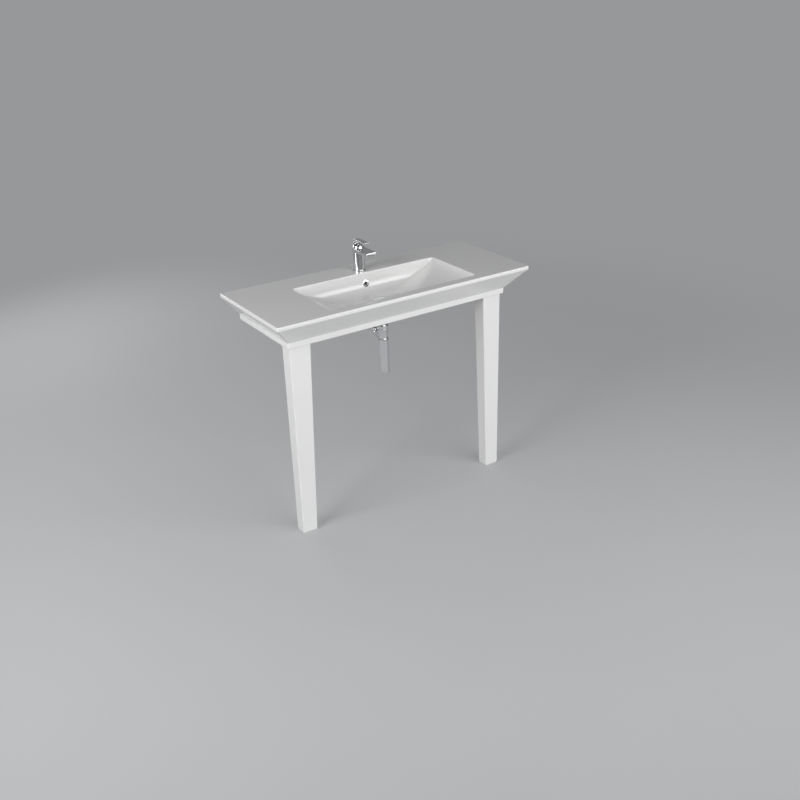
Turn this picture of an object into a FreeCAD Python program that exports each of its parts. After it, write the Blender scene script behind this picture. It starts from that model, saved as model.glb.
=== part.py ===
"""Console washbasin: a ceramic basin on two front legs, with its mixer tap, waste and bottle trap.

The frame is in millimetres. The origin lies on the wall, midway between the two fixing holes.
X runs along the wall, Y points into the wall and Z points up, so the front edge has the lowest Y.
"""
import FreeCAD, Part
import math
import os
import Sketcher

# Every driving length in millimetres, grouped by the piece that carries it.
LENGTHS = {
    # basin: deck, flared apron and skirt
    "deck_width": 1080.0,
    "deck_depth": 436.0,
    "rim_height": 862.0,
    "fixing_drop": 75.0,
    "rim_thickness": 13.0,
    "flare_drop": 79.0,
    "skirt_height": 22.0,
    "skirt_inset": 67.0,
    "deck_corner": 7.0,
    "rim_round": 4.0,
    "skirt_round": 3.0,
    "deck_plate": 14.0,
    "flare_wall": 16.0,
    "back_wall": 12.0,
    "fixing_spacing": 280.0,
    "fixing_hole_diameter": 16.0,
    # basin: bowl, drain boss and overflow channel
    "bowl_length": 626.0,
    "bowl_breadth": 280.0,
    "bowl_setback": 116.5,
    "bowl_depth": 82.0,
    "bowl_wall": 11.0,
    "bowl_corner": 12.0,
    "sump_corner": 26.0,
    "bowl_round": 4.0,
    "seat_length": 210.0,
    "seat_breadth": 74.0,
    "drain_setback": 228.0,
    "drain_boss_diameter": 86.0,
    "drain_boss_depth": 30.0,
    "drain_hole_diameter": 46.0,
    "overflow_drop": 42.0,
    "overflow_hole_diameter": 20.0,
    "channel_width": 40.0,
    "channel_depth": 10.0,
    "channel_wall": 8.0,
    "channel_head": 12.0,
    "channel_cover": 13.0,
    # overflow ring
    "ring_diameter": 27.0,
    "ring_flange": 2.4,
    "ring_recess": 1.6,
    "ring_sleeve": 9.0,
    "ring_bore_diameter": 15.0,
    "ring_clearance": 0.3,
    "ring_round": 0.9,
    # legs and their fixing
    "leg_reveal": 11.0,
    "leg_top_width": 83.0,
    "leg_top_depth": 56.0,
    "leg_foot_width": 59.0,
    "leg_foot_depth": 48.0,
    "leg_wall": 9.0,
    "leg_web": 14.0,
    "leg_round": 3.5,
    "leg_end_bevel": 1.5,
    "leg_shelf_thickness": 14.0,
    "leg_shelf_margin": 14.0,
    "leg_gasket_thickness": 2.0,
    "leg_gasket_margin": 3.0,
    "foot_pad_thickness": 2.0,
    "foot_pad_margin": 1.5,
    "leg_stud_diameter": 8.0,
    "leg_stud_play": 1.0,
    "leg_stud_tip": 6.0,
    "leg_nut_diameter": 15.0,
    "leg_nut_height": 6.5,
    "leg_washer_diameter": 24.0,
    "leg_washer_thickness": 2.0,
    # tap body and spout
    "tap_setback": 75.0,
    "tap_hole_diameter": 35.0,
    "tap_gasket_thickness": 1.5,
    "tap_gasket_diameter": 47.0,
    "tap_base_diameter": 50.0,
    "tap_base_height": 4.0,
    "tap_body_diameter": 46.0,
    "tap_body_height": 92.0,
    "tap_edge_round": 1.2,
    "spout_width": 45.0,
    "spout_reach": 92.5,
    "spout_height": 72.5,
    "spout_root_thickness": 17.5,
    "spout_tip_thickness": 16.0,
    "spout_round": 2.5,
    "inlet_diameter": 9.0,
    "inlet_depth": 14.0,
    "inlet_spacing": 16.0,
    "inlet_offset": 4.0,
    # tap fixing under the deck
    "tap_stud_diameter": 6.0,
    "tap_stud_offset": 10.0,
    "tap_stud_socket": 13.0,
    "tap_stud_length": 58.0,
    "clamp_diameter": 54.0,
    "clamp_rubber": 3.0,
    "clamp_plate": 3.0,
    "clamp_slot_width": 28.0,
    "clamp_slot_offset": 2.0,
    "tap_nut_diameter": 12.0,
    "tap_nut_height": 8.0,
    # cartridge
    "cartridge_diameter": 35.0,
    "cartridge_bore_play": 0.5,
    "cartridge_seat": 36.0,
    "cartridge_height": 36.0,
    "cartridge_neck_diameter": 27.0,
    "cartridge_neck_height": 17.0,
    "ring_nut_height": 5.0,
    "ring_nut_play": 0.15,
    "rotor_diameter": 22.0,
    "rotor_height": 11.0,
    "rotor_play": 0.08,
    "rotor_slot_length": 16.0,
    "pivot_height": 87.0,
    "rotor_drop": 9.0,
    "pin_diameter": 3.0,
    "pin_length": 20.0,
    "pin_play": 0.05,
    "spindle_width": 9.0,
    "spindle_depth": 7.0,
    "spindle_rise": 16.0,
    "spindle_tail": 6.0,
    "spindle_play": 0.3,
    # lever and its dome
    "dome_diameter": 41.0,
    "dome_wall": 2.6,
    "dome_lip": 1.2,
    "dome_play": 0.6,
    "dome_bore_depth": 16.0,
    "lever_width": 22.0,
    "lever_back": 15.5,
    "lever_thickness": 6.0,
    "lever_foot": 13.5,
    "lever_underside": 27.0,
    "lever_reach": 62.0,
    "lever_tip_rise": 0.5,
    "lever_tip_thickness": 4.5,
    "lever_bend": 8.0,
    "lever_inner_bend": 3.5,
    "lever_round": 1.4,
    "lever_boss_diameter": 15.0,
    "lever_boss_low": 8.0,
    "index_diameter": 6.0,
    "index_height": 11.5,
    "index_depth": 2.4,
    "index_play": 0.1,
    "index_proud": 0.4,
    "grub_diameter": 4.0,
    "grub_length": 5.0,
    # aerator
    "aerator_diameter": 22.0,
    "aerator_setback": 13.0,
    "aerator_depth": 9.0,
    "aerator_lip": 1.5,
    "aerator_wall": 2.0,
    "aerator_ledge": 1.2,
    "aerator_play": 0.2,
    "aerator_washer_thickness": 1.5,
    "aerator_insert_thickness": 3.0,
    "jet_diameter": 2.2,
    "jet_circle_diameter": 10.5,
    # waste
    "waste_seal_thickness": 1.5,
    "waste_seal_width": 8.0,
    "waste_flange_diameter": 66.0,
    "waste_flange_thickness": 3.0,
    "waste_flange_round": 1.0,
    "waste_diameter": 44.0,
    "waste_bore_diameter": 38.0,
    "waste_length": 64.0,
    "waste_slot_width": 14.0,
    "waste_slot_height": 8.0,
    "waste_play": 0.2,
    "cone_seal_diameter": 68.0,
    "cone_seal_height": 7.0,
    "cone_seal_taper": 5.0,
    "lock_nut_diameter": 62.0,
    "lock_nut_height": 10.0,
    "tail_diameter": 32.0,
    "tail_wall": 1.2,
    "tail_grip": 12.0,
    # waste plug
    "plug_diameter": 60.0,
    "plug_edge": 2.2,
    "plug_crown": 5.0,
    "plug_seal_width": 4.0,
    "plug_seal_thickness": 1.5,
    "plug_travel": 8.0,
    "stem_diameter": 6.0,
    "stem_play": 0.08,
    "guide_hub_diameter": 14.0,
    "guide_arm_width": 4.0,
    "guide_height": 8.0,
    "guide_drop": 28.0,
    "clip_diameter": 10.0,
    "clip_height": 2.0,
    # trap
    "trap_drop": 103.0,
    "trap_nut_diameter": 43.0,
    "trap_nut_height": 16.0,
    "trap_nut_lap": 7.0,
    "trap_nut_round": 1.5,
    "trap_seal_thickness": 4.0,
    "trap_play": 0.2,
    "head_diameter": 36.4,
    "head_length": 54.0,
    "head_socket": 8.0,
    "head_ledge": 3.0,
    "dip_flange": 1.5,
    "dip_diameter": 22.0,
    "dip_wall": 1.0,
    "dip_clearance": 24.0,
    "collar_margin": 1.0,
    "collar_height": 3.0,
    "bottle_seal_thickness": 1.2,
    "bottle_diameter": 41.0,
    "bottle_length": 138.0,
    "bottle_floor": 3.0,
    "bottle_round": 5.0,
    "outlet_drop": 28.0,
    "outlet_diameter": 32.0,
    "outlet_wall": 1.2,
    "outlet_stub": 30.0,
    "outlet_socket": 9.0,
    "outlet_into_wall": 40.0,
    "spigot_diameter": 31.6,
    "rosette_diameter": 68.0,
    "rosette_depth": 9.0,
    "rosette_edge": 2.0,
    "rosette_neck_diameter": 44.0,
    # threads stand clear of their nuts by this much
    "thread_play": 0.1,
    # cuts run this far past the faces that they open
    "overrun": 5.0,
}

# The bowl's wall follows a superellipse from the deck to the drain seat on each side.
BOWL_DEPTH_SHARES = (0.0, 0.18, 0.36, 0.52, 0.66, 0.80, 0.91, 1.0)
SHELL_START_SHARE = 0.07
SIDE_POWER = 1.45
BACK_POWER = 3.0
FRONT_POWER = 2.0

JET_COUNT = 8
GUIDE_ARM_COUNT = 3
HEX_SIDE_COUNT = 6
FULL_TURN = 360
QUARTER_TURN = 90
LINE_START, LINE_END = 1, 2
NEAR = 1e-4

ALONG_WALL_NORMAL = FreeCAD.Rotation(FreeCAD.Vector(1, 0, 0), -QUARTER_TURN)
ALONG_FRONT = FreeCAD.Rotation(FreeCAD.Vector(1, 0, 0), QUARTER_TURN)
ALONG_SIDE = FreeCAD.Rotation(FreeCAD.Vector(0, 1, 0), QUARTER_TURN)
UPRIGHT = FreeCAD.Rotation()


class Size:
    """A length worked out from the sheet: the expression that binds it, and its value now."""

    def __init__(self, text, value):
        self.text = text
        self.value = value

    def _join(self, sign, other, value):
        other_text = other.text if isinstance(other, Size) else f"{other:.9g}"
        return Size(f"({self.text} {sign} {other_text})", value)

    def __add__(self, other):
        return self._join("+", other, self.value + number(other))

    def __sub__(self, other):
        return self._join("-", other, self.value - number(other))

    def __mul__(self, other):
        return self._join("*", other, self.value * number(other))

    def __truediv__(self, other):
        return self._join("/", other, self.value / number(other))

    def __neg__(self):
        return Size(f"(-{self.text})", -self.value)


def number(item):
    """The plain value of a size or of a number."""
    return item.value if isinstance(item, Size) else float(item)


class Sheet:
    """The spreadsheet of driving lengths, read by name."""

    def __init__(self, document, lengths):
        self._lengths = lengths
        self._sheet = document.addObject("Spreadsheet::Sheet", "Sizes")
        for row, (alias, length) in enumerate(lengths.items(), start=1):
            self._sheet.set(f"A{row}", alias)
            self._sheet.set(f"B{row}", str(length))
            self._sheet.setAlias(f"B{row}", alias)

    def __getattr__(self, alias):
        return Size(f"Sizes.{alias}", self._lengths[alias])


doc = FreeCAD.newDocument("Washbasin")
s = Sheet(doc, LENGTHS)
doc.recompute()
ZERO = Size("0", 0.0)
pieces = []


def bind(item, **sizes):
    """Ties each named property of an object to its size."""
    for name, size in sizes.items():
        item.setExpression(name, size.text)


def put(item, x=ZERO, y=ZERO, z=ZERO, turn=UPRIGHT):
    """Places an object and ties its place to the sizes."""
    item.Placement = FreeCAD.Placement(FreeCAD.Vector(x.value, y.value, z.value), turn)
    for axis, size in zip("xyz", (x, y, z)):
        if size is not ZERO:
            item.setExpression(f"Placement.Base.{axis}", size.text)


def new_body(label, x=ZERO, y=ZERO, z=ZERO, turn=UPRIGHT):
    """A body with its own label and place, counted among the pieces."""
    body = doc.addObject("PartDesign::Body", label)
    body.Label = label
    put(body, x, y, z, turn)
    pieces.append(body)
    return body


def new_sketch(body, name, role, offset):
    """A sketch on one of the body's own planes, moved along the plane's normal."""
    sketch = body.newObject("Sketcher::SketchObject", name)
    plane = next(item for item in body.Origin.OriginFeatures if item.Role == role)
    sketch.AttachmentSupport = (plane, [""])
    sketch.MapMode = "FlatFace"
    sketch.AttachmentOffset = FreeCAD.Placement(FreeCAD.Vector(0, 0, offset.value), UPRIGHT)
    if offset is not ZERO:
        sketch.setExpression("AttachmentOffset.Base.z", offset.text)
    return sketch


def pin_point(sketch, line, end, across, up):
    """Ties one end of a line to its two distances from the sketch's origin."""
    for kind, size, axis in (("DistanceX", across, -2), ("DistanceY", up, -1)):
        if size is ZERO:
            sketch.addConstraint(Sketcher.Constraint("PointOnObject", line, end, axis))
            continue
        index = sketch.addConstraint(Sketcher.Constraint(kind, -1, 1, line, end, size.value))
        sketch.setExpression(f"Constraints[{index}]", size.text)


def dome_arc(start, end):
    """The arc from one point to another whose centre lies on the upright axis."""
    height = (start.x ** 2 + start.y ** 2 - end.x ** 2 - end.y ** 2) / (2 * (start.y - end.y))
    centre = FreeCAD.Vector(0, height, 0)
    circle = Part.Circle(centre, FreeCAD.Vector(0, 0, 1), centre.distanceToPoint(start))
    angles = [math.atan2(point.y - height, point.x) for point in (start, end)]
    return Part.ArcOfCircle(circle, *angles)


def outline(body, name, points, role="XZ_Plane", domes=()):
    """A closed outline through points given as pairs of sizes; the sides named in domes are arcs."""
    sketch = new_sketch(body, name, role, ZERO)
    corners = [FreeCAD.Vector(across.value, up.value, 0) for across, up in points]
    for index, (start, end) in enumerate(zip(corners, corners[1:] + corners[:1])):
        sketch.addGeometry(dome_arc(start, end) if index in domes else Part.LineSegment(start, end))
    count = len(points)
    for index in range(count):
        following = (index + 1) % count
        sketch.addConstraint(Sketcher.Constraint("Coincident", index, LINE_END, following, LINE_START))
    for index, (across, up) in enumerate(points):
        pin_point(sketch, index, LINE_START, across, up)
    for index in domes:
        sketch.addConstraint(Sketcher.Constraint("PointOnObject", index, 3, -2))
    return sketch


def rounded(body, name, left, right, front, back, corner, height):
    """A level rectangle with round corners, between four places in X and Y."""
    sketch = new_sketch(body, name, "XY_Plane", height)
    x_low, x_high, y_low, y_high = left.value, right.value, front.value, back.value
    bend = corner.value
    lines = (((x_low + bend, y_low), (x_high - bend, y_low)),
             ((x_high, y_low + bend), (x_high, y_high - bend)),
             ((x_high - bend, y_high), (x_low + bend, y_high)),
             ((x_low, y_high - bend), (x_low, y_low + bend)))
    centres = ((x_high - bend, y_low + bend), (x_high - bend, y_high - bend),
               (x_low + bend, y_high - bend), (x_low + bend, y_low + bend))
    sides = [sketch.addGeometry(Part.LineSegment(FreeCAD.Vector(*start, 0), FreeCAD.Vector(*end, 0)))
             for start, end in lines]
    bends = []
    for quarter, centre in enumerate(centres):
        circle = Part.Circle(FreeCAD.Vector(*centre, 0), FreeCAD.Vector(0, 0, 1), bend)
        start = (quarter - 1) * math.pi / 2
        bends.append(sketch.addGeometry(Part.ArcOfCircle(circle, start, start + math.pi / 2)))
    for index, side in enumerate(sides):
        following = sides[(index + 1) % len(sides)]
        sketch.addConstraint(Sketcher.Constraint("Tangent", side, LINE_END, bends[index], LINE_START))
        sketch.addConstraint(Sketcher.Constraint("Tangent", bends[index], LINE_END, following, LINE_START))
        sketch.addConstraint(Sketcher.Constraint("Horizontal" if index % 2 == 0 else "Vertical", side))
    for kind, side, size in (("DistanceX", sides[1], right), ("DistanceX", sides[3], left),
                             ("DistanceY", sides[0], front), ("DistanceY", sides[2], back)):
        if size is ZERO:
            sketch.addConstraint(Sketcher.Constraint("PointOnObject", side, 1, -1))
            continue
        index = sketch.addConstraint(Sketcher.Constraint(kind, -1, 1, side, 1, size.value))
        sketch.setExpression(f"Constraints[{index}]", size.text)
    for arc in bends:
        index = sketch.addConstraint(Sketcher.Constraint("Radius", arc, bend))
        sketch.setExpression(f"Constraints[{index}]", corner.text)
    return sketch


def front_rounded(body, name, half, front, corner, height):
    """A level outline whose back lies on the wall, square there and round at the two front corners."""
    sketch = new_sketch(body, name, "XY_Plane", height)
    x_high, y_low, bend = half.value, front.value, corner.value
    lines = (((bend - x_high, y_low), (x_high - bend, y_low)), ((x_high, y_low + bend), (x_high, 0)),
             ((x_high, 0), (-x_high, 0)), ((-x_high, 0), (-x_high, y_low + bend)))
    front_side, right_side, back_side, left_side = [
        sketch.addGeometry(Part.LineSegment(FreeCAD.Vector(*start, 0), FreeCAD.Vector(*end, 0)))
        for start, end in lines]
    bends = []
    for centre, start in ((x_high - bend, -math.pi / 2), (bend - x_high, math.pi)):
        circle = Part.Circle(FreeCAD.Vector(centre, y_low + bend, 0), FreeCAD.Vector(0, 0, 1), bend)
        bends.append(sketch.addGeometry(Part.ArcOfCircle(circle, start, start + math.pi / 2)))
    right_bend, left_bend = bends
    for kind, first, second in (("Tangent", front_side, right_bend), ("Tangent", right_bend, right_side),
                                ("Coincident", right_side, back_side), ("Coincident", back_side, left_side),
                                ("Tangent", left_side, left_bend), ("Tangent", left_bend, front_side)):
        sketch.addConstraint(Sketcher.Constraint(kind, first, LINE_END, second, LINE_START))
    sketch.addConstraint(Sketcher.Constraint("Horizontal", front_side))
    for side in (right_side, left_side):
        sketch.addConstraint(Sketcher.Constraint("Vertical", side))
    for end in (LINE_START, LINE_END):
        sketch.addConstraint(Sketcher.Constraint("PointOnObject", back_side, end, -1))
    for kind, side, size in (("DistanceX", right_side, half), ("DistanceX", left_side, -half),
                             ("DistanceY", front_side, front)):
        index = sketch.addConstraint(Sketcher.Constraint(kind, -1, 1, side, 1, size.value))
        sketch.setExpression(f"Constraints[{index}]", size.text)
    for arc in bends:
        index = sketch.addConstraint(Sketcher.Constraint("Radius", arc, bend))
        sketch.setExpression(f"Constraints[{index}]", corner.text)
    return sketch


def feature(body, kind, name, **sizes):
    """One PartDesign feature with its lengths tied to sizes."""
    item = body.newObject(f"PartDesign::{kind}", name)
    bind(item, **sizes)
    return item


def pad(body, sketch, length, name, reverse=False, symmetric=False):
    """Gives a sketch its thickness."""
    item = feature(body, "Pad", name, Length=length)
    item.Profile = sketch
    item.Reversed = reverse
    if symmetric:
        item.SideType = "Symmetric"
    return item


def loft(body, kind, sketches, name, ruled):
    """Joins level sections into one skin."""
    item = feature(body, kind, name)
    item.Profile = sketches[0]
    item.Sections = sketches[1:]
    item.Ruled = ruled
    return item


def spin(body, sketch, name="turned"):
    """Turns an outline a full turn round the body's upright axis."""
    item = feature(body, "Revolution", name)
    item.Profile = sketch
    item.ReferenceAxis = (sketch, ["V_Axis"])
    item.Angle = FULL_TURN
    return item


def rod(body, name, diameter, length, x=ZERO, y=ZERO, z=ZERO, turn=UPRIGHT, cut=False):
    """A round bar, or the round hole that it leaves."""
    item = feature(body, "SubtractiveCylinder" if cut else "AdditiveCylinder", name,
                   Radius=diameter / 2, Height=length)
    put(item, x, y, z, turn)
    return item


def block(body, name, x_span, y_span, z_span, cut=False):
    """A straight block between two places on each axis, or the pocket that it leaves."""
    (left, right), (front, back), (low, high) = x_span, y_span, z_span
    item = feature(body, "SubtractiveBox" if cut else "AdditiveBox", name,
                   Length=right - left, Width=back - front, Height=high - low)
    put(item, left, front, low)
    return item


def ball(body, name, diameter, low_angle, cut=False):
    """A ball round the body's origin, from a lowest latitude in degrees to its top."""
    item = feature(body, "SubtractiveSphere" if cut else "AdditiveSphere", name, Radius=diameter / 2)
    item.Angle1 = low_angle
    item.Angle2 = QUARTER_TURN
    item.Angle3 = FULL_TURN
    return item


def hexagon(body, name, diameter, height, z):
    """A six-sided prism, its diameter taken across the corners."""
    item = feature(body, "AdditivePrism", name, Circumradius=diameter / 2, Height=height)
    item.Polygon = HEX_SIDE_COUNT
    put(item, z=z)
    return item


def soften(body, base, radius, chosen, name):
    """Rounds the edges of a feature that a test picks."""
    doc.recompute()
    names = [f"Edge{index}" for index, edge in enumerate(base.Shape.Edges, start=1) if chosen(edge)]
    if not names:
        raise ValueError(f"{body.Label}: no edge for {name}")
    item = feature(body, "Fillet", name, Radius=radius)
    item.Base = (base, names)
    return item


def level(edge, height):
    """Whether an edge lies in one level plane."""
    box = edge.BoundBox
    return abs(box.ZMin - height.value) < NEAR and abs(box.ZMax - height.value) < NEAR


def comes_forward(edge):
    """Whether an edge comes forward of its body's own upright plane, which on the basin is the wall."""
    return edge.BoundBox.YMin < -LENGTHS["overrun"]


def turned(label, points, x=ZERO, y=ZERO, z=ZERO, turn=UPRIGHT, domes=()):
    """A piece turned on a lathe from its half outline of (radius, height) points."""
    body = new_body(label, x, y, z, turn)
    return body, spin(body, outline(body, "half_outline", points, domes=domes))


def ring(label, outer, inner, low, high, x=ZERO, y=ZERO, turn=UPRIGHT, z=ZERO):
    """A flat ring between two diameters and two heights."""
    points = [(inner / 2, low), (outer / 2, low), (outer / 2, high), (inner / 2, high)]
    return turned(label, points, x, y, z, turn)


# Places that several pieces share.
deck_top = s.fixing_drop
floor = deck_top - s.rim_height
rim_low = deck_top - s.rim_thickness
skirt_top = rim_low - s.flare_drop
skirt_low = skirt_top - s.skirt_height
deck_half = s.deck_width / 2
skirt_half = deck_half - s.skirt_inset
skirt_front = s.skirt_inset - s.deck_depth
plate_low = deck_top - s.deck_plate

bowl_half = s.bowl_length / 2
bowl_back = -s.bowl_setback
bowl_front = bowl_back - s.bowl_breadth
seat = deck_top - s.bowl_depth
drain_y = -s.drain_setback
seat_half = s.seat_length / 2
seat_back = drain_y + s.seat_breadth / 2
seat_front = drain_y - s.seat_breadth / 2
boss_low = seat - s.drain_boss_depth

leg_outer = skirt_half - s.leg_reveal
leg_front = skirt_front + s.leg_reveal
leg_top = skirt_low - s.leg_gasket_thickness
leg_low = floor + s.foot_pad_thickness
stud_x = leg_outer - s.leg_top_width / 2
stud_y = leg_front + s.leg_top_depth / 2
shelf_top = skirt_low + s.leg_shelf_thickness

tap_y = -s.tap_setback
tap_base = deck_top + s.tap_gasket_thickness
pivot_z = deck_top + s.pivot_height
aerator_y = s.aerator_setback - s.spout_reach

overflow_z = deck_top - s.overflow_drop


def bowl_share(depth_share, power):
    """How far the wall has come in, from the opening (0) to the drain seat (1), at a share of the depth."""
    return 1 - (1 - depth_share ** power) ** (1 / power)


def bowl_section(body, name, depth_share, wall):
    """One level section of the bowl, grown outward and downward by a wall."""
    side = bowl_share(depth_share, SIDE_POWER)
    half = bowl_half + wall - (bowl_half - seat_half) * side
    back = bowl_back + wall - (bowl_back - seat_back) * bowl_share(depth_share, BACK_POWER)
    front = bowl_front - wall + (seat_front - bowl_front) * bowl_share(depth_share, FRONT_POWER)
    corner = s.bowl_corner + wall + (s.sump_corner - s.bowl_corner) * depth_share
    height = deck_top - (s.bowl_depth + wall) * depth_share
    return rounded(body, name, -half, half, front, back, corner, height)


class OverflowWall:
    """The bowl's back wall where the overflow pierces it: its place in Y and its lean."""

    def __init__(self):
        depth_share = LENGTHS["overflow_drop"] / LENGTHS["bowl_depth"]
        travel = bowl_back - seat_back
        self.place = bowl_back - travel * bowl_share(depth_share, BACK_POWER)
        steep = depth_share ** (BACK_POWER - 1) * (1 - depth_share ** BACK_POWER) ** (1 / BACK_POWER - 1)
        lean = math.atan(steep * travel.value / LENGTHS["bowl_depth"])
        self.back_share = math.cos(lean)
        self.rise_share = math.sin(lean)
        self.turn = FreeCAD.Rotation(FreeCAD.Vector(1, 0, 0), QUARTER_TURN - math.degrees(lean))

    def behind(self, depth):
        """The place that lies a depth behind the wall's face, square to it."""
        return {"y": self.place + depth * self.back_share, "z": overflow_z - depth * self.rise_share,
                "turn": self.turn}


def make_basin():
    """The one-piece casting: deck, flared apron and skirt, hollow below, with the bowl let into it."""
    body = new_body("basin")
    top = front_rounded(body, "deck_outline", deck_half, -s.deck_depth, s.deck_corner, deck_top)
    pad(body, top, s.rim_thickness, "rim", reverse=True)
    rim = front_rounded(body, "rim_outline", deck_half, -s.deck_depth, s.deck_corner, rim_low)
    waist = front_rounded(body, "skirt_outline", skirt_half, skirt_front, s.deck_corner, skirt_top)
    loft(body, "AdditiveLoft", [rim, waist], "flare", ruled=True)
    band = front_rounded(body, "band_outline", skirt_half, skirt_front, s.deck_corner, skirt_top)
    apron = pad(body, band, s.skirt_height, "skirt", reverse=True)
    rim_edge = soften(body, apron, s.rim_round, is_rim_edge, "rim_edge")
    soften(body, rim_edge, s.skirt_round, is_lower_edge, "lower_edges")
    hollow_basin(body)
    shell = [bowl_section(body, f"shell_section_{index}", max(share, SHELL_START_SHARE), s.bowl_wall)
             for index, share in enumerate(BOWL_DEPTH_SHARES)]
    loft(body, "AdditiveLoft", shell, "bowl_shell", ruled=False)
    add_bosses(body)
    inside = [bowl_section(body, f"bowl_section_{index}", share, ZERO)
              for index, share in enumerate(BOWL_DEPTH_SHARES)]
    bowl = loft(body, "SubtractiveLoft", inside, "bowl", ruled=False)
    soften(body, bowl, s.bowl_round, is_bowl_brim, "bowl_edge")
    drill_basin(body)


def is_rim_edge(edge):
    """Whether an edge runs round the deck's top, clear of the wall."""
    return comes_forward(edge) and level(edge, deck_top)


def is_lower_edge(edge):
    """Whether an edge runs under the rim or round the skirt's foot, clear of the wall."""
    return comes_forward(edge) and (level(edge, skirt_low) or level(edge, rim_low))


def is_bowl_brim(edge):
    """Whether an edge belongs to the bowl's opening in the deck."""
    box = edge.BoundBox
    reach = deck_half.value - LENGTHS["skirt_inset"]
    inside = box.XMin > -reach and box.XMax < reach
    return level(edge, deck_top) and inside and box.YMax < bowl_back.value + LENGTHS["overrun"]


def hollow_basin(body):
    """Opens the underside, leaving the deck plate, the apron walls and the back wall."""
    lean = s.skirt_inset * (s.deck_plate - s.rim_thickness) / s.flare_drop
    upper = deck_half - lean - s.flare_wall
    lower = skirt_half - s.flare_wall
    upper_front = lean + s.flare_wall - s.deck_depth
    lower_front = skirt_front + s.flare_wall
    corner = s.deck_corner + s.flare_wall / 2
    levels = ((upper, upper_front, plate_low), (lower, lower_front, skirt_top),
              (lower, lower_front, skirt_low - s.overrun))
    sections = [rounded(body, f"hollow_section_{index}", -half, half, front, -s.back_wall, corner, height)
                for index, (half, front, height) in enumerate(levels)]
    loft(body, "SubtractiveLoft", sections, "hollow", ruled=True)


def add_bosses(body):
    """The drain boss, the overflow channel behind the bowl and the shelves that take the legs."""
    rod(body, "drain_boss", s.drain_boss_diameter, s.drain_boss_depth, y=drain_y, z=boss_low)
    half = s.channel_width / 2 + s.channel_wall
    back = bowl_back + s.bowl_wall + s.channel_depth + s.channel_wall
    top = overflow_z + s.overflow_hole_diameter / 2 + s.channel_head
    block(body, "channel_riser", (-half, half), (bowl_back, back), (boss_low, top))
    block(body, "channel_run", (-half, half), (drain_y, back), (boss_low, seat - s.bowl_wall / 2))
    inner = leg_outer - s.leg_top_width - s.leg_shelf_margin
    shelf_back = leg_front + s.leg_top_depth + s.leg_shelf_margin
    wall_x = skirt_half - s.flare_wall / 2
    wall_y = skirt_front + s.flare_wall / 2
    join_front(body)
    block(body, "shelf_right", (inner, wall_x), (wall_y, shelf_back), (skirt_low, shelf_top))
    block(body, "shelf_left", (-wall_x, -inner), (wall_y, shelf_back), (skirt_low, shelf_top))


def join_front(body):
    """Fills the narrow corner between the deck, the front apron and the bowl's front wall."""
    slope = s.skirt_inset / s.flare_drop
    apron = s.flare_wall / 2 - s.deck_depth
    wall = bowl_front - s.bowl_wall / 2
    depth = s.bowl_depth / 2
    corner = [(apron, plate_low), (wall, plate_low), (apron + slope * depth, plate_low - depth)]
    side = outline(body, "front_web_side", corner, role="YZ_Plane")
    pad(body, side, s.bowl_length - s.sump_corner * 2, "front_web", symmetric=True)


def drill_basin(body):
    """Every hole in the casting: tap, drain, overflow, wall fixings and leg studs."""
    rod(body, "tap_hole", s.tap_hole_diameter, s.deck_plate + s.overrun * 2, y=tap_y,
        z=plate_low - s.overrun, cut=True)
    rod(body, "drain_hole", s.drain_hole_diameter, s.drain_boss_depth + s.overrun * 2, y=drain_y,
        z=boss_low - s.overrun, cut=True)
    half = s.channel_width / 2
    inner_back = bowl_back + s.bowl_wall + s.channel_depth
    inner_front = bowl_back + s.bowl_wall
    low = boss_low + s.channel_wall
    run_top = seat - s.channel_cover
    block(body, "riser_bore", (-half, half), (inner_front, inner_back),
          (low, overflow_z + s.overflow_hole_diameter / 2 + s.channel_head - s.channel_wall), cut=True)
    block(body, "run_bore", (-half, half), (drain_y, inner_back), (low, run_top), cut=True)
    wall = OverflowWall()
    rod(body, "overflow_recess", s.ring_diameter + s.ring_clearance * 2, s.ring_recess + s.overrun,
        **wall.behind(s.ring_recess), cut=True)
    reach = s.bowl_wall + s.channel_depth / 2
    rod(body, "overflow_hole", s.overflow_hole_diameter, reach + s.overrun, **wall.behind(reach), cut=True)
    for side, name in ((-1, "left"), (1, "right")):
        rod(body, f"fixing_hole_{name}", s.fixing_hole_diameter, s.back_wall + s.overrun * 2,
            x=s.fixing_spacing / 2 * side, y=-s.back_wall - s.overrun, turn=ALONG_WALL_NORMAL, cut=True)
        rod(body, f"stud_hole_{name}", s.leg_stud_diameter + s.leg_stud_play * 2,
            s.leg_shelf_thickness + s.overrun * 2, x=stud_x * side, y=stud_y,
            z=skirt_low - s.overrun, cut=True)


def make_overflow_ring():
    """The plated ring in the overflow: a flange in a shallow recess and a sleeve through the wall."""
    bore, sleeve = s.ring_bore_diameter / 2, s.overflow_hole_diameter / 2 - s.ring_clearance
    points = [(bore, -s.ring_sleeve), (sleeve, -s.ring_sleeve), (sleeve, ZERO), (s.ring_diameter / 2, ZERO),
              (s.ring_diameter / 2, s.ring_flange), (bore, s.ring_flange)]
    body, shape = turned("overflow_ring", points, **OverflowWall().behind(s.ring_recess))
    soften(body, shape, s.ring_round, lambda edge: level(edge, s.ring_flange), "bead")


def leg_section(body, name, side, height, wall):
    """One level section of a leg; the outer and front faces are upright, the others taper."""
    rise = (height - leg_low) / (leg_top - leg_low)
    width = s.leg_foot_width + (s.leg_top_width - s.leg_foot_width) * rise
    depth = s.leg_foot_depth + (s.leg_top_depth - s.leg_foot_depth) * rise
    near, far = leg_outer - width + wall, leg_outer - wall
    left, right = (near, far) if side > 0 else (-far, -near)
    return rounded(body, name, left, right, leg_front + wall, leg_front + depth - wall, s.leg_round, height)


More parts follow.
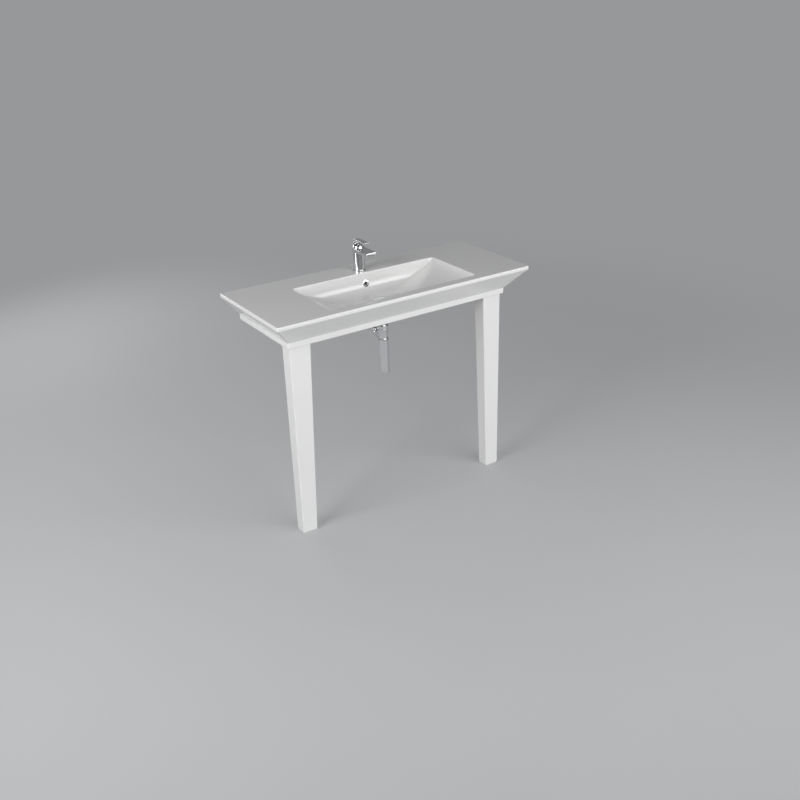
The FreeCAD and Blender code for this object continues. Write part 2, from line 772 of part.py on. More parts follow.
def make_leg(side, name):
    """A hollow ceramic leg, closed at the top by a web that the stud passes."""
    body = new_body(f"leg_{name}")
    bevel = s.leg_end_bevel
    levels = ((leg_low, bevel), (leg_low + bevel, ZERO), (leg_top - bevel, ZERO), (leg_top, bevel))
    outer = [leg_section(body, f"outer_{index}", side, height, inset)
             for index, (height, inset) in enumerate(levels)]
    loft(body, "AdditiveLoft", outer, "outside", ruled=True)
    inner = [leg_section(body, f"inner_{index}", side, height, s.leg_wall)
             for index, height in enumerate((leg_low - s.overrun, leg_top - s.leg_web))]
    loft(body, "SubtractiveLoft", inner, "inside", ruled=True)
    rod(body, "stud_hole", s.leg_stud_diameter + s.leg_stud_play * 2, s.leg_web + s.overrun * 2,
        x=stud_x * side, y=stud_y, z=leg_top - s.leg_web - s.overrun, cut=True)


def make_leg_plates(side, name):
    """The gasket between skirt and leg, and the pad under the foot."""
    gasket = new_body(f"leg_gasket_{name}")
    sheet = leg_section(gasket, "sheet", side, leg_top, s.leg_gasket_margin)
    pad(gasket, sheet, s.leg_gasket_thickness, "gasket")
    rod(gasket, "stud_hole", s.leg_stud_diameter + s.leg_stud_play * 2,
        s.leg_gasket_thickness + s.overrun * 2, x=stud_x * side, y=stud_y,
        z=leg_top - s.overrun, cut=True)
    foot = new_body(f"foot_pad_{name}")
    sole = leg_section(foot, "sole", side, leg_low, s.foot_pad_margin)
    pad(foot, sole, s.foot_pad_thickness, "pad", reverse=True)


def solid(kind, name, x=ZERO, y=ZERO, z=ZERO, **sizes):
    """One Part primitive with its lengths and place tied to sizes."""
    item = doc.addObject(f"Part::{kind}", name)
    bind(item, **sizes)
    put(item, x, y, z)
    return item


def cut_out(name, whole, tool):
    """One Part primitive with another taken out of it."""
    item = doc.addObject("Part::Cut", name)
    item.Base = whole
    item.Tool = tool
    return item


def group(label, items):
    """Like fasteners, kept together as one piece of several solids."""
    item = doc.addObject("Part::Compound", label)
    item.Label = label
    item.Links = items
    pieces.append(item)


def make_leg_fasteners():
    """Per leg one threaded stud, with a washer and a nut above the shelf and below the leg's web."""
    web_low = leg_top - s.leg_web
    stack = s.leg_washer_thickness + s.leg_nut_height
    stud_low = web_low - stack - s.leg_stud_tip
    stud_high = shelf_top + stack + s.leg_stud_tip
    hole = s.leg_stud_diameter / 2 + s.thread_play
    studs, nuts, washers = [], [], []
    for side, name in ((-1, "left"), (1, "right")):
        spot = {"x": stud_x * side, "y": stud_y}
        studs.append(solid("Cylinder", f"stud_{name}", **spot, z=stud_low, Radius=s.leg_stud_diameter / 2,
                           Height=stud_high - stud_low))
        ends = (("upper", shelf_top, shelf_top + s.leg_washer_thickness),
                ("lower", web_low - s.leg_washer_thickness, web_low - stack))
        for end, washer_z, nut_z in ends:
            disc = solid("Cylinder", f"disc_{end}_{name}", **spot, z=washer_z,
                         Radius=s.leg_washer_diameter / 2, Height=s.leg_washer_thickness)
            eye = solid("Cylinder", f"eye_{end}_{name}", **spot, z=washer_z, Radius=hole,
                        Height=s.leg_washer_thickness)
            washers.append(cut_out(f"washer_{end}_{name}", disc, eye))
            prism = solid("Prism", f"prism_{end}_{name}", **spot, z=nut_z,
                          Circumradius=s.leg_nut_diameter / 2, Height=s.leg_nut_height)
            prism.Polygon = HEX_SIDE_COUNT
            thread = solid("Cylinder", f"thread_{end}_{name}", **spot, z=nut_z, Radius=hole,
                           Height=s.leg_nut_height)
            nuts.append(cut_out(f"nut_{end}_{name}", prism, thread))
    group("leg_studs", studs)
    group("leg_nuts", nuts)
    group("leg_washers", washers)


def make_tap_body():
    """The cast body: a flat spout run into a round column, bored for the cartridge and the lever's dome."""
    body = new_body("tap_body", y=tap_y, z=deck_top)
    under = s.spout_height
    side = [(ZERO, under), (ZERO, under + s.spout_root_thickness),
            (-s.spout_reach, under + s.spout_tip_thickness), (-s.spout_reach, under)]
    profile = outline(body, "spout_side", side, role="YZ_Plane")
    spout = pad(body, profile, s.spout_width, "spout", symmetric=True)
    soften(body, spout, s.spout_round, comes_forward, "spout_edges")
    base, shank = s.tap_base_diameter / 2, s.tap_body_diameter / 2
    foot = s.tap_gasket_thickness
    shoulder = foot + s.tap_base_height
    half = [(ZERO, foot), (base, foot), (base, shoulder - s.tap_edge_round),
            (base - s.tap_edge_round, shoulder), (shank, shoulder), (shank, s.tap_body_height),
            (ZERO, s.tap_body_height)]
    column = spin(body, outline(body, "column_half", half), "column")
    soften(body, column, s.tap_edge_round, lambda edge: level(edge, s.tap_body_height), "column_edge")
    bore_low = s.tap_body_height - s.dome_bore_depth
    rod(body, "dome_bore", s.dome_diameter + s.dome_play * 2, s.dome_bore_depth + s.overrun,
        z=bore_low, cut=True)
    rod(body, "cartridge_bore", s.cartridge_diameter + s.cartridge_bore_play * 2,
        bore_low - s.cartridge_seat + s.overrun, z=s.cartridge_seat, cut=True)
    for side_sign, name in ((-1, "hot"), (1, "cold")):
        rod(body, f"inlet_{name}", s.inlet_diameter, s.inlet_depth + s.overrun,
            x=s.inlet_spacing / 2 * side_sign, y=-s.inlet_offset, z=foot - s.overrun, cut=True)
    rod(body, "stud_socket", s.tap_stud_diameter + s.thread_play * 2, s.tap_stud_socket + s.overrun,
        y=s.tap_stud_offset, z=foot - s.overrun, cut=True)
    rod(body, "aerator_recess", s.aerator_diameter, s.aerator_depth + s.overrun, y=aerator_y,
        z=under - s.overrun, cut=True)


def make_tap_fixing():
    """Gasket on the deck; below it the stud, the rubber and steel horseshoes and the nut."""
    ring("tap_base_gasket", s.tap_gasket_diameter, s.tap_hole_diameter, ZERO, s.tap_gasket_thickness,
         y=tap_y, z=deck_top)
    stud = new_body("tap_stud", y=tap_y + s.tap_stud_offset,
                    z=tap_base + s.tap_stud_socket - s.tap_stud_length)
    rod(stud, "stud", s.tap_stud_diameter, s.tap_stud_length)
    rubber_low = plate_low - s.clamp_rubber
    plate_bottom = rubber_low - s.clamp_plate
    for label, low, thickness in (("tap_clamp_rubber", rubber_low, s.clamp_rubber),
                                  ("tap_clamp_plate", plate_bottom, s.clamp_plate)):
        horseshoe = new_body(label, y=tap_y, z=low)
        rod(horseshoe, "disc", s.clamp_diameter, thickness)
        half = s.clamp_slot_width / 2
        block(horseshoe, "slot", (-half, half), (-s.clamp_diameter, s.clamp_slot_offset),
              (-s.overrun, thickness + s.overrun), cut=True)
        rod(horseshoe, "stud_hole", s.tap_stud_diameter + s.thread_play * 2, thickness + s.overrun * 2,
            y=s.tap_stud_offset, z=-s.overrun, cut=True)
    nut = new_body("tap_clamp_nut", y=tap_y + s.tap_stud_offset, z=plate_bottom - s.tap_nut_height)
    hexagon(nut, "flats", s.tap_nut_diameter, s.tap_nut_height, ZERO)
    rod(nut, "thread", s.tap_stud_diameter + s.thread_play * 2, s.tap_nut_height + s.overrun * 2,
        z=-s.overrun, cut=True)


def make_cartridge():
    """The cartridge: its housing, the ring nut that holds it, the rotor, its pin and the tilting spindle."""
    outer, neck = s.cartridge_diameter / 2, s.cartridge_neck_diameter / 2
    shoulder = s.cartridge_seat + s.cartridge_height
    top = shoulder + s.cartridge_neck_height
    well = s.rotor_diameter / 2 + s.rotor_play
    well_low = s.pivot_height - s.rotor_drop
    housing = [(ZERO, s.cartridge_seat), (outer, s.cartridge_seat), (outer, shoulder), (neck, shoulder),
               (neck, top), (well, top), (well, well_low), (ZERO, well_low)]
    turned("cartridge_housing", housing, y=tap_y, z=deck_top)
    bore = s.cartridge_diameter + s.cartridge_bore_play * 2
    ring("cartridge_ring_nut", bore - s.ring_nut_play * 2, s.cartridge_neck_diameter + s.ring_nut_play * 2,
         shoulder, shoulder + s.ring_nut_height, y=tap_y, z=deck_top)
    rotor = new_body("cartridge_rotor", y=tap_y, z=pivot_z)
    rod(rotor, "disc", s.rotor_diameter, s.rotor_height - s.rotor_play, z=s.rotor_play - s.rotor_drop)
    half, reach = s.spindle_width / 2 + s.spindle_play, s.rotor_slot_length / 2
    block(rotor, "slot", (-half, half), (-reach, reach), (-s.rotor_height, s.rotor_height), cut=True)
    rod(rotor, "pin_hole", s.pin_diameter, s.rotor_diameter + s.overrun * 2,
        x=-s.rotor_diameter / 2 - s.overrun, turn=ALONG_SIDE, cut=True)
    pin = new_body("cartridge_pin", y=tap_y, z=pivot_z)
    rod(pin, "pin", s.pin_diameter, s.pin_length, x=-s.pin_length / 2, turn=ALONG_SIDE)
    spindle = new_body("cartridge_spindle", y=tap_y, z=pivot_z)
    half, depth = s.spindle_width / 2, s.spindle_depth / 2
    block(spindle, "bar", (-half, half), (-depth, depth), (-s.spindle_tail, s.spindle_rise))
    rod(spindle, "pin_hole", s.pin_diameter + s.pin_play * 2, s.spindle_width + s.overrun * 2,
        x=-half - s.overrun, turn=ALONG_SIDE, cut=True)


def leg_of(long_side, short_side):
    """The other side of a right triangle."""
    text = f"sqrt({long_side.text} ^ 2 - {short_side.text} ^ 2)"
    return Size(text, math.sqrt(long_side.value ** 2 - short_side.value ** 2))


def make_lever():
    """The bent strap lever on a hollow dome, which turns and tilts about the cartridge's pivot."""
    body = new_body("lever", y=tap_y, z=pivot_z)
    half, foot = s.lever_width / 2, s.lever_foot
    under, inner = s.lever_underside, s.lever_back - s.lever_thickness
    tip_low = under + s.lever_tip_rise
    strap = [(s.lever_back, foot), (s.lever_back, under + s.lever_thickness),
             (-s.lever_reach, tip_low + s.lever_tip_thickness), (-s.lever_reach, tip_low),
             (inner, under), (inner, foot)]
    profile = outline(body, "strap_side", strap, role="YZ_Plane")
    shape = pad(body, profile, s.lever_width, "strap", symmetric=True)

    def crosses_at(edge, place):
        """Whether an edge runs across the strap at a place in Y, above its foot."""
        box = edge.BoundBox
        flush = abs(box.YMin - place.value) + abs(box.YMax - place.value) < NEAR
        return flush and box.XLength > half.value and not level(edge, foot)

    def is_strap_edge(edge):
        """Whether an edge runs along the strap's sides or across its tip."""
        along = edge.BoundBox.XLength < half.value and not level(edge, foot)
        return along or crosses_at(edge, -s.lever_reach)

    shape = soften(body, shape, s.lever_bend, lambda edge: crosses_at(edge, s.lever_back), "outer_bend")
    shape = soften(body, shape, s.lever_inner_bend, lambda edge: crosses_at(edge, inner), "inner_bend")
    soften(body, shape, s.lever_round, is_strap_edge, "strap_edges")
    radius = s.dome_diameter / 2
    ball(body, "dome", s.dome_diameter, math.degrees(math.asin(s.dome_lip.value / radius.value)))
    ball(body, "dome_hollow", s.dome_diameter - s.dome_wall * 2, 0, cut=True)
    boss_height = radius - s.dome_wall / 2 - s.lever_boss_low
    rod(body, "spindle_boss", s.lever_boss_diameter, boss_height, z=s.lever_boss_low)
    wide, deep = s.spindle_width / 2 + s.spindle_play, s.spindle_depth / 2 + s.spindle_play
    block(body, "spindle_socket", (-wide, wide), (-deep, deep),
          (s.lever_boss_low - s.overrun, s.spindle_rise + s.spindle_play), cut=True)
    face = leg_of(radius, s.index_height)
    rod(body, "index_recess", s.index_diameter, s.index_depth + s.overrun, y=s.index_depth - face,
        z=s.index_height, turn=ALONG_FRONT, cut=True)
    rod(body, "grub_hole", s.grub_diameter + s.thread_play * 2, face, z=s.index_height,
        turn=ALONG_FRONT, cut=True)
    plug = new_body("lever_index_plug", y=tap_y, z=pivot_z)
    rod(plug, "plug", s.index_diameter - s.index_play * 2, s.index_depth + s.index_proud,
        y=s.index_depth - face, z=s.index_height, turn=ALONG_FRONT)
    grub = new_body("lever_grub_screw", y=tap_y, z=pivot_z)
    rod(grub, "screw", s.grub_diameter, s.grub_length, y=-s.spindle_depth / 2, z=s.index_height,
        turn=ALONG_FRONT)


def make_aerator():
    """The aerator under the spout's tip: threaded housing, washer and jet insert."""
    spot = {"y": tap_y + aerator_y, "z": deck_top + s.spout_height}
    outer = s.aerator_diameter / 2 - s.aerator_play
    inner = outer - s.aerator_wall
    top = s.aerator_depth - s.aerator_washer_thickness
    mouth = inner - s.aerator_ledge
    turned("aerator_housing", [(mouth, -s.aerator_lip), (outer, -s.aerator_lip), (outer, top), (inner, top),
                               (inner, ZERO), (mouth, ZERO)], **spot)
    ring("aerator_washer", outer * 2, inner * 2, top, s.aerator_depth, **spot)
    insert = new_body("aerator_insert", **spot)
    rod(insert, "disc", (inner - s.aerator_play) * 2, s.aerator_insert_thickness)
    through = s.aerator_insert_thickness + s.overrun * 2
    rod(insert, "centre_jet", s.jet_diameter, through, z=-s.overrun, cut=True)
    jet = rod(insert, "jet", s.jet_diameter, through, x=s.jet_circle_diameter / 2, z=-s.overrun, cut=True)
    repeat(insert, jet, JET_COUNT, "jets")


def repeat(body, original, count, name):
    """Repeats a feature round the body's upright axis."""
    doc.recompute()
    item = body.newObject("PartDesign::PolarPattern", name)
    item.Originals = [original]
    axis = next(part for part in body.Origin.OriginFeatures if part.Role == "Z_Axis")
    item.Axis = (axis, [""])
    item.Angle = FULL_TURN
    item.Occurrences = count
    body.Tip = item
    return item


def make_waste():
    """The flanged waste clamped through the drain hole, with its seals, nut and tail pipe."""
    spot = {"y": drain_y, "z": seat}
    tube, bore = s.waste_diameter / 2, s.waste_bore_diameter / 2
    under = s.waste_seal_thickness
    top = under + s.waste_flange_thickness
    socket = s.tail_diameter / 2 + s.waste_play
    step = s.tail_grip - s.waste_length
    flange = s.waste_flange_diameter / 2
    half_body = [(socket, -s.waste_length), (tube, -s.waste_length), (tube, under), (flange, under),
                 (flange, top), (bore, top), (bore, step), (socket, step)]
    body, shape = turned("waste_body", half_body, **spot)
    soften(body, shape, s.waste_flange_round, lambda edge: level(edge, top), "flange_edges")
    half = s.waste_slot_width / 2
    middle = (s.channel_wall - s.drain_boss_depth - s.channel_cover) / 2
    block(body, "overflow_slots", (-half, half), (-s.waste_diameter, s.waste_diameter),
          (middle - s.waste_slot_height / 2, middle + s.waste_slot_height / 2), cut=True)
    ring("waste_top_seal", s.drain_hole_diameter + s.waste_seal_width * 2, s.drain_hole_diameter,
         ZERO, under, **spot)
    hole = tube + s.waste_play
    cone_top = -s.drain_boss_depth
    cone_low = cone_top - s.cone_seal_height
    cone = s.cone_seal_diameter / 2
    turned("waste_cone_seal", [(hole, cone_low), (cone - s.cone_seal_taper, cone_low), (cone, cone_top),
                               (hole, cone_top)], **spot)
    nut = new_body("waste_lock_nut", y=drain_y, z=seat + cone_low - s.lock_nut_height)
    hexagon(nut, "flats", s.lock_nut_diameter, s.lock_nut_height, ZERO)
    rod(nut, "thread", hole * 2, s.lock_nut_height + s.overrun * 2, z=-s.overrun, cut=True)
    tail_low = s.dip_flange - s.head_socket - s.trap_drop
    ring("waste_tail", s.tail_diameter, s.tail_diameter - s.tail_wall * 2, tail_low, step, **spot)


def make_plug():
    """The push plug: crowned cap, seal and stem, sliding in a three-armed guide."""
    spot = {"y": drain_y, "z": seat}
    flange_top = s.waste_seal_thickness + s.waste_flange_thickness
    under = flange_top + s.plug_seal_thickness
    edge = s.plug_diameter / 2
    cap = [(ZERO, under), (edge, under), (edge, under + s.plug_edge), (ZERO, under + s.plug_crown)]
    turned("waste_plug", cap, **spot, domes=(2,))
    ring("waste_plug_seal", s.waste_bore_diameter + s.waste_flange_round * 2 + s.plug_seal_width * 2,
         s.waste_bore_diameter + s.waste_flange_round * 2, flange_top, under, **spot)
    guide_low = -s.guide_drop - s.guide_height
    clip_top = guide_low - s.plug_travel
    clip_low = clip_top - s.clip_height
    stem, clip = s.stem_diameter / 2, s.clip_diameter / 2
    turned("waste_plug_stem", [(ZERO, clip_low), (clip, clip_low), (clip, clip_top), (stem, clip_top),
                               (stem, under), (ZERO, under)], **spot)
    guide = new_body("waste_plug_guide", y=drain_y, z=seat + guide_low)
    rod(guide, "hub", s.guide_hub_diameter, s.guide_height)
    half, reach = s.guide_arm_width / 2, s.waste_bore_diameter / 2 - s.waste_play
    arm = block(guide, "arm", (ZERO, reach), (-half, half), (ZERO, s.guide_height))
    repeat(guide, arm, GUIDE_ARM_COUNT, "arms")
    rod(guide, "bore", s.stem_diameter + s.stem_play * 2, s.guide_height + s.overrun * 2,
        z=-s.overrun, cut=True)


def union_nut(label, **spot):
    """A union nut that laps a threaded end at height zero and presses a seal round a plain pipe."""
    thread = s.head_diameter / 2 + s.trap_play
    throat = s.tail_diameter / 2 + s.trap_play
    outer, top = s.trap_nut_diameter / 2, s.trap_nut_height - s.trap_nut_lap
    half_nut = [(thread, -s.trap_nut_lap), (outer, -s.trap_nut_lap), (outer, top), (throat, top),
                (throat, s.trap_seal_thickness), (thread, s.trap_seal_thickness)]
    body, shape = turned(label, half_nut, **spot)

    def is_rim(edge):
        """Whether an edge rings one of the nut's outer corners."""
        box = edge.BoundBox
        return box.XMax > outer.value - NEAR and box.ZLength < NEAR

    soften(body, shape, s.trap_nut_round, is_rim, "nut_edges")


def make_trap():
    """The bottle trap: head with side outlet, dip tube, screwed bottle, and the pipe to the wall."""
    top = seat - s.trap_drop
    spot = {"y": drain_y, "z": top}
    head = new_body("trap_head", **spot)
    rod(head, "barrel", s.head_diameter, s.head_length, z=-s.head_length)
    collar_low = -s.outlet_drop - s.head_diameter / 2 - s.collar_margin
    rod(head, "collar", s.bottle_diameter, s.collar_height, z=collar_low)
    rod(head, "stub", s.head_diameter, s.outlet_stub, z=-s.outlet_drop, turn=ALONG_WALL_NORMAL)
    socket = s.tail_diameter + s.trap_play * 2
    rod(head, "tail_socket", socket, s.head_socket + s.overrun, z=-s.head_socket, cut=True)
    rod(head, "throat", s.dip_diameter + s.trap_play * 2, s.head_length, z=-s.head_length, cut=True)
    ledge_low = s.head_socket + s.head_ledge
    rod(head, "chamber", socket, s.head_length - ledge_low + s.overrun,
        z=-s.head_length - s.overrun, cut=True)
    rod(head, "outlet_bore", s.outlet_diameter - s.outlet_wall * 2, s.outlet_stub, z=-s.outlet_drop,
        turn=ALONG_WALL_NORMAL, cut=True)
    rod(head, "outlet_socket", s.outlet_diameter + s.trap_play * 2, s.outlet_socket + s.overrun,
        y=s.outlet_stub - s.outlet_socket, z=-s.outlet_drop, turn=ALONG_WALL_NORMAL, cut=True)
    ring("trap_inlet_seal", s.head_diameter, socket, ZERO, s.trap_seal_thickness, **spot)
    union_nut("trap_inlet_nut", **spot)
    bottle_top = collar_low - s.bottle_seal_thickness
    bottle_low = bottle_top - s.bottle_length
    inside = s.head_diameter / 2 + s.trap_play
    outer = s.bottle_diameter / 2
    floor_top = bottle_low + s.bottle_floor
    dip, flange = s.dip_diameter / 2, s.tail_diameter / 2
    dip_bore, dip_low, dip_top = dip - s.dip_wall, floor_top + s.dip_clearance, s.dip_flange - s.head_socket
    half_tube = [(dip_bore, dip_low), (dip, dip_low), (dip, -s.head_socket), (flange, -s.head_socket),
                 (flange, dip_top), (dip_bore, dip_top)]
    turned("trap_dip_tube", half_tube, **spot)
    ring("trap_bottle_seal", s.bottle_diameter, inside * 2, bottle_top, collar_low, **spot)
    half_bottle = [(ZERO, bottle_low), (outer, bottle_low), (outer, bottle_top), (inside, bottle_top),
                   (inside, floor_top), (ZERO, floor_top)]
    body, shape = turned("trap_bottle", half_bottle, **spot)
    soften(body, shape, s.bottle_round, lambda edge: level(edge, bottle_low), "bottle_edge")
    outlet = {"y": drain_y, "z": top - s.outlet_drop, "turn": ALONG_WALL_NORMAL}
    pipe_end = s.outlet_stub - s.outlet_socket
    wall, tip = s.drain_setback, s.drain_setback + s.outlet_into_wall
    pipe, spigot = s.outlet_diameter / 2, s.spigot_diameter / 2
    bore = pipe - s.outlet_wall
    half_pipe = [(bore, pipe_end), (pipe, pipe_end), (pipe, wall), (spigot, wall), (spigot, tip), (bore, tip)]
    turned("trap_outlet_pipe", half_pipe, **outlet)
    joint = {"y": drain_y + s.outlet_stub, "z": top - s.outlet_drop, "turn": ALONG_WALL_NORMAL}
    ring("trap_outlet_seal", s.head_diameter, s.outlet_diameter + s.trap_play * 2,
         ZERO, s.trap_seal_thickness, **joint)
    union_nut("trap_outlet_nut", **joint)
    hole, neck = s.outlet_diameter / 2 + s.trap_play, s.rosette_neck_diameter / 2
    edge, front = s.rosette_diameter / 2, wall - s.rosette_depth
    half_rosette = [(hole, front), (neck, front), (edge, wall - s.rosette_edge), (edge, wall), (hole, wall)]
    turned("wall_rosette", half_rosette, **outlet)


def write_pieces():
    """Checks every object of the document, then writes each piece to its own file."""
    doc.recompute()
    failed = [f"{item.Label}: {item.getStatusString()}" for item in doc.Objects
              if {"Invalid", "Error"} & set(item.State)]
    if failed:
        raise RuntimeError(f"failed objects: {failed}")
    for piece in pieces:
        if piece.Shape.isNull() or not piece.Shape.isValid() or not piece.Shape.Solids:
            raise RuntimeError(f"bad shape: {piece.Label}")
    os.makedirs("parts", exist_ok=True)
    for piece in pieces:
        piece.Shape.exportStep(f"parts/{piece.Label}.step")
        print(f"{piece.Label}: {len(piece.Shape.Solids)} solid, {piece.Shape.Volume / 1000:.1f} cm3")


make_basin()
make_overflow_ring()
for leg_side, leg_name in ((-1, "left"), (1, "right")):
    make_leg(leg_side, leg_name)
    make_leg_plates(leg_side, leg_name)
make_leg_fasteners()
make_tap_body()
make_tap_fixing()
make_cartridge()
make_lever()
make_aerator()
make_waste()
make_plug()
make_trap()
write_pieces()
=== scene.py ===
"""Looks of a wide ceramic console washbasin on two front legs, with its mixer tap, waste and bottle trap.

Lengths are in metres, in the part's own frame: X runs along the wall, Y into it and Z up. The origin lies on
the wall, midway between the two fixing holes.
"""
import logging
import math
from dataclasses import dataclass, field
from enum import Enum
from typing import Callable, Union

import bpy
import numpy as np
from mathutils import Matrix, Vector


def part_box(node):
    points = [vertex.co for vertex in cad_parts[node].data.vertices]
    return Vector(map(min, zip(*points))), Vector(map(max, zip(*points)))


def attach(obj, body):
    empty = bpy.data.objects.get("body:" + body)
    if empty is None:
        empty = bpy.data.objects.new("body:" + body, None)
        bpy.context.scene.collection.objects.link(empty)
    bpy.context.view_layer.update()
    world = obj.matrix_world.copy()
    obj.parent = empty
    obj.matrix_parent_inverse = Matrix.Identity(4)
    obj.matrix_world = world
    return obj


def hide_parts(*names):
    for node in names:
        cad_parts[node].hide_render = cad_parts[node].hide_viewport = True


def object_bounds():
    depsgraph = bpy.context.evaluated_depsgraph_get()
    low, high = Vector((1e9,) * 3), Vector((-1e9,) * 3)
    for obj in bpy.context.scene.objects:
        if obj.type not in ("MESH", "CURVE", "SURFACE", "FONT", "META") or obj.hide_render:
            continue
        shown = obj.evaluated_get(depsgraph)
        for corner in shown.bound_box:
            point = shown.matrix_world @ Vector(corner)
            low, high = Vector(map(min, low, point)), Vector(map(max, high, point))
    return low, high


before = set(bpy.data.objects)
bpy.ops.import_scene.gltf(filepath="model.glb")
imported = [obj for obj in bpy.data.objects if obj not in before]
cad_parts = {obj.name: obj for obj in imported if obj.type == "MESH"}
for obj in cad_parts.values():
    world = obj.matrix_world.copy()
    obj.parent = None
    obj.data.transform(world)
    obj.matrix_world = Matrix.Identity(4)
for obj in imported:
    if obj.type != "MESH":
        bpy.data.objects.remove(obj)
CAD_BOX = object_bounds()
FULL_TURN = 2 * math.pi
SHARP_EDGE = math.radians(28)
UNIT = (0.0, 1.0)
log = logging.getLogger("washbasin")

Colour = tuple[float, float, float]
Span = tuple[float, float]
Socket = bpy.types.NodeSocket
Value = Union[Socket, float, tuple]


class Side(Enum):
    """The two legs, seen by someone who faces the basin."""

    LEFT = -1
    RIGHT = 1


class Marks(Enum):
    """What the fine relief of a finish looks like."""

    PEEL = "peel"
    LATHE = "lathe"
    GRAIN = "grain"


class Graph:
    """A node tree with short ways to add nodes, sums and links.

    A mix node's colour sockets go by number, because their names repeat for each kind of value.
    """

    MIX_FACTOR = 0
    MIX_FIRST = 6
    MIX_SECOND = 7
    MIX_RESULT = 2

    def __init__(self, tree: bpy.types.NodeTree) -> None:
        """Wraps a node tree."""
        self.tree = tree

    def feed(self, socket: Socket, value: Value) -> None:
        """Links a socket to another one, or sets its plain value.

        Args:
            socket: the input that is fed.
            value: a socket to link, or a plain value.
        """
        if isinstance(value, Socket):
            self.tree.links.new(value, socket)
        elif socket.type == "RGBA" and len(value) == 3:
            socket.default_value = (*value, 1.0)
        else:
            socket.default_value = value

    def node(self, kind: str, inputs: dict | None = None, **settings: object) -> bpy.types.Node:
        """Adds one node.

        Args:
            kind: the node's type name.
            inputs: values or sockets by input name or number.
            settings: the node's own properties.

        Returns:
            The new node.
        """
        item = self.tree.nodes.new(kind)
        for name, setting in settings.items():
            setattr(item, name, setting)
        for name, value in (inputs or {}).items():
            self.feed(item.inputs[name], value)
        return item

    def sum(self, operation: str, first: Value, second: Value = 0.0) -> Socket:
        """One step of arithmetic on two values."""
        return self.node("ShaderNodeMath", {0: first, 1: second}, operation=operation).outputs[0]

    def remap(self, value: Value, source: Span, target: tuple[Value, Value]) -> Socket:
        """Carries a value from one span to another with a soft start and stop.

        Args:
            value: what is carried.
            source: the span that it comes from.
            target: the span that it goes to; the ends may be sockets.

        Returns:
            The value in its new span.
        """
        inputs = {"Value": value, "From Min": source[0], "From Max": source[1], "To Min": target[0],
                  "To Max": target[1]}
        return self.node("ShaderNodeMapRange", inputs, interpolation_type="SMOOTHSTEP").outputs["Result"]

    def mix(self, factor: Value, first: Value, second: Value) -> Socket:
        """Blends two colours: the first where the factor is zero, the second where it is one."""
        inputs = {self.MIX_FACTOR: factor, self.MIX_FIRST: first, self.MIX_SECOND: second}
        return self.node("ShaderNodeMix", inputs, data_type="RGBA").outputs[self.MIX_RESULT]

    def noise(self, vector: Value, scale: Value, detail: float, roughness: float = 0.5) -> Socket:
        """A cloud of soft spots, as a value round one half."""
        inputs = {"Vector": vector, "Scale": scale, "Detail": detail, "Roughness": roughness}
        return self.node("ShaderNodeTexNoise", inputs).outputs["Fac"]

    def use(self, effect: bpy.types.NodeTree, inputs: dict[str, Value]) -> Socket:
        """Places a shared effect in this tree and gives its output."""
        return self.node("ShaderNodeGroup", inputs, node_tree=effect).outputs[0]


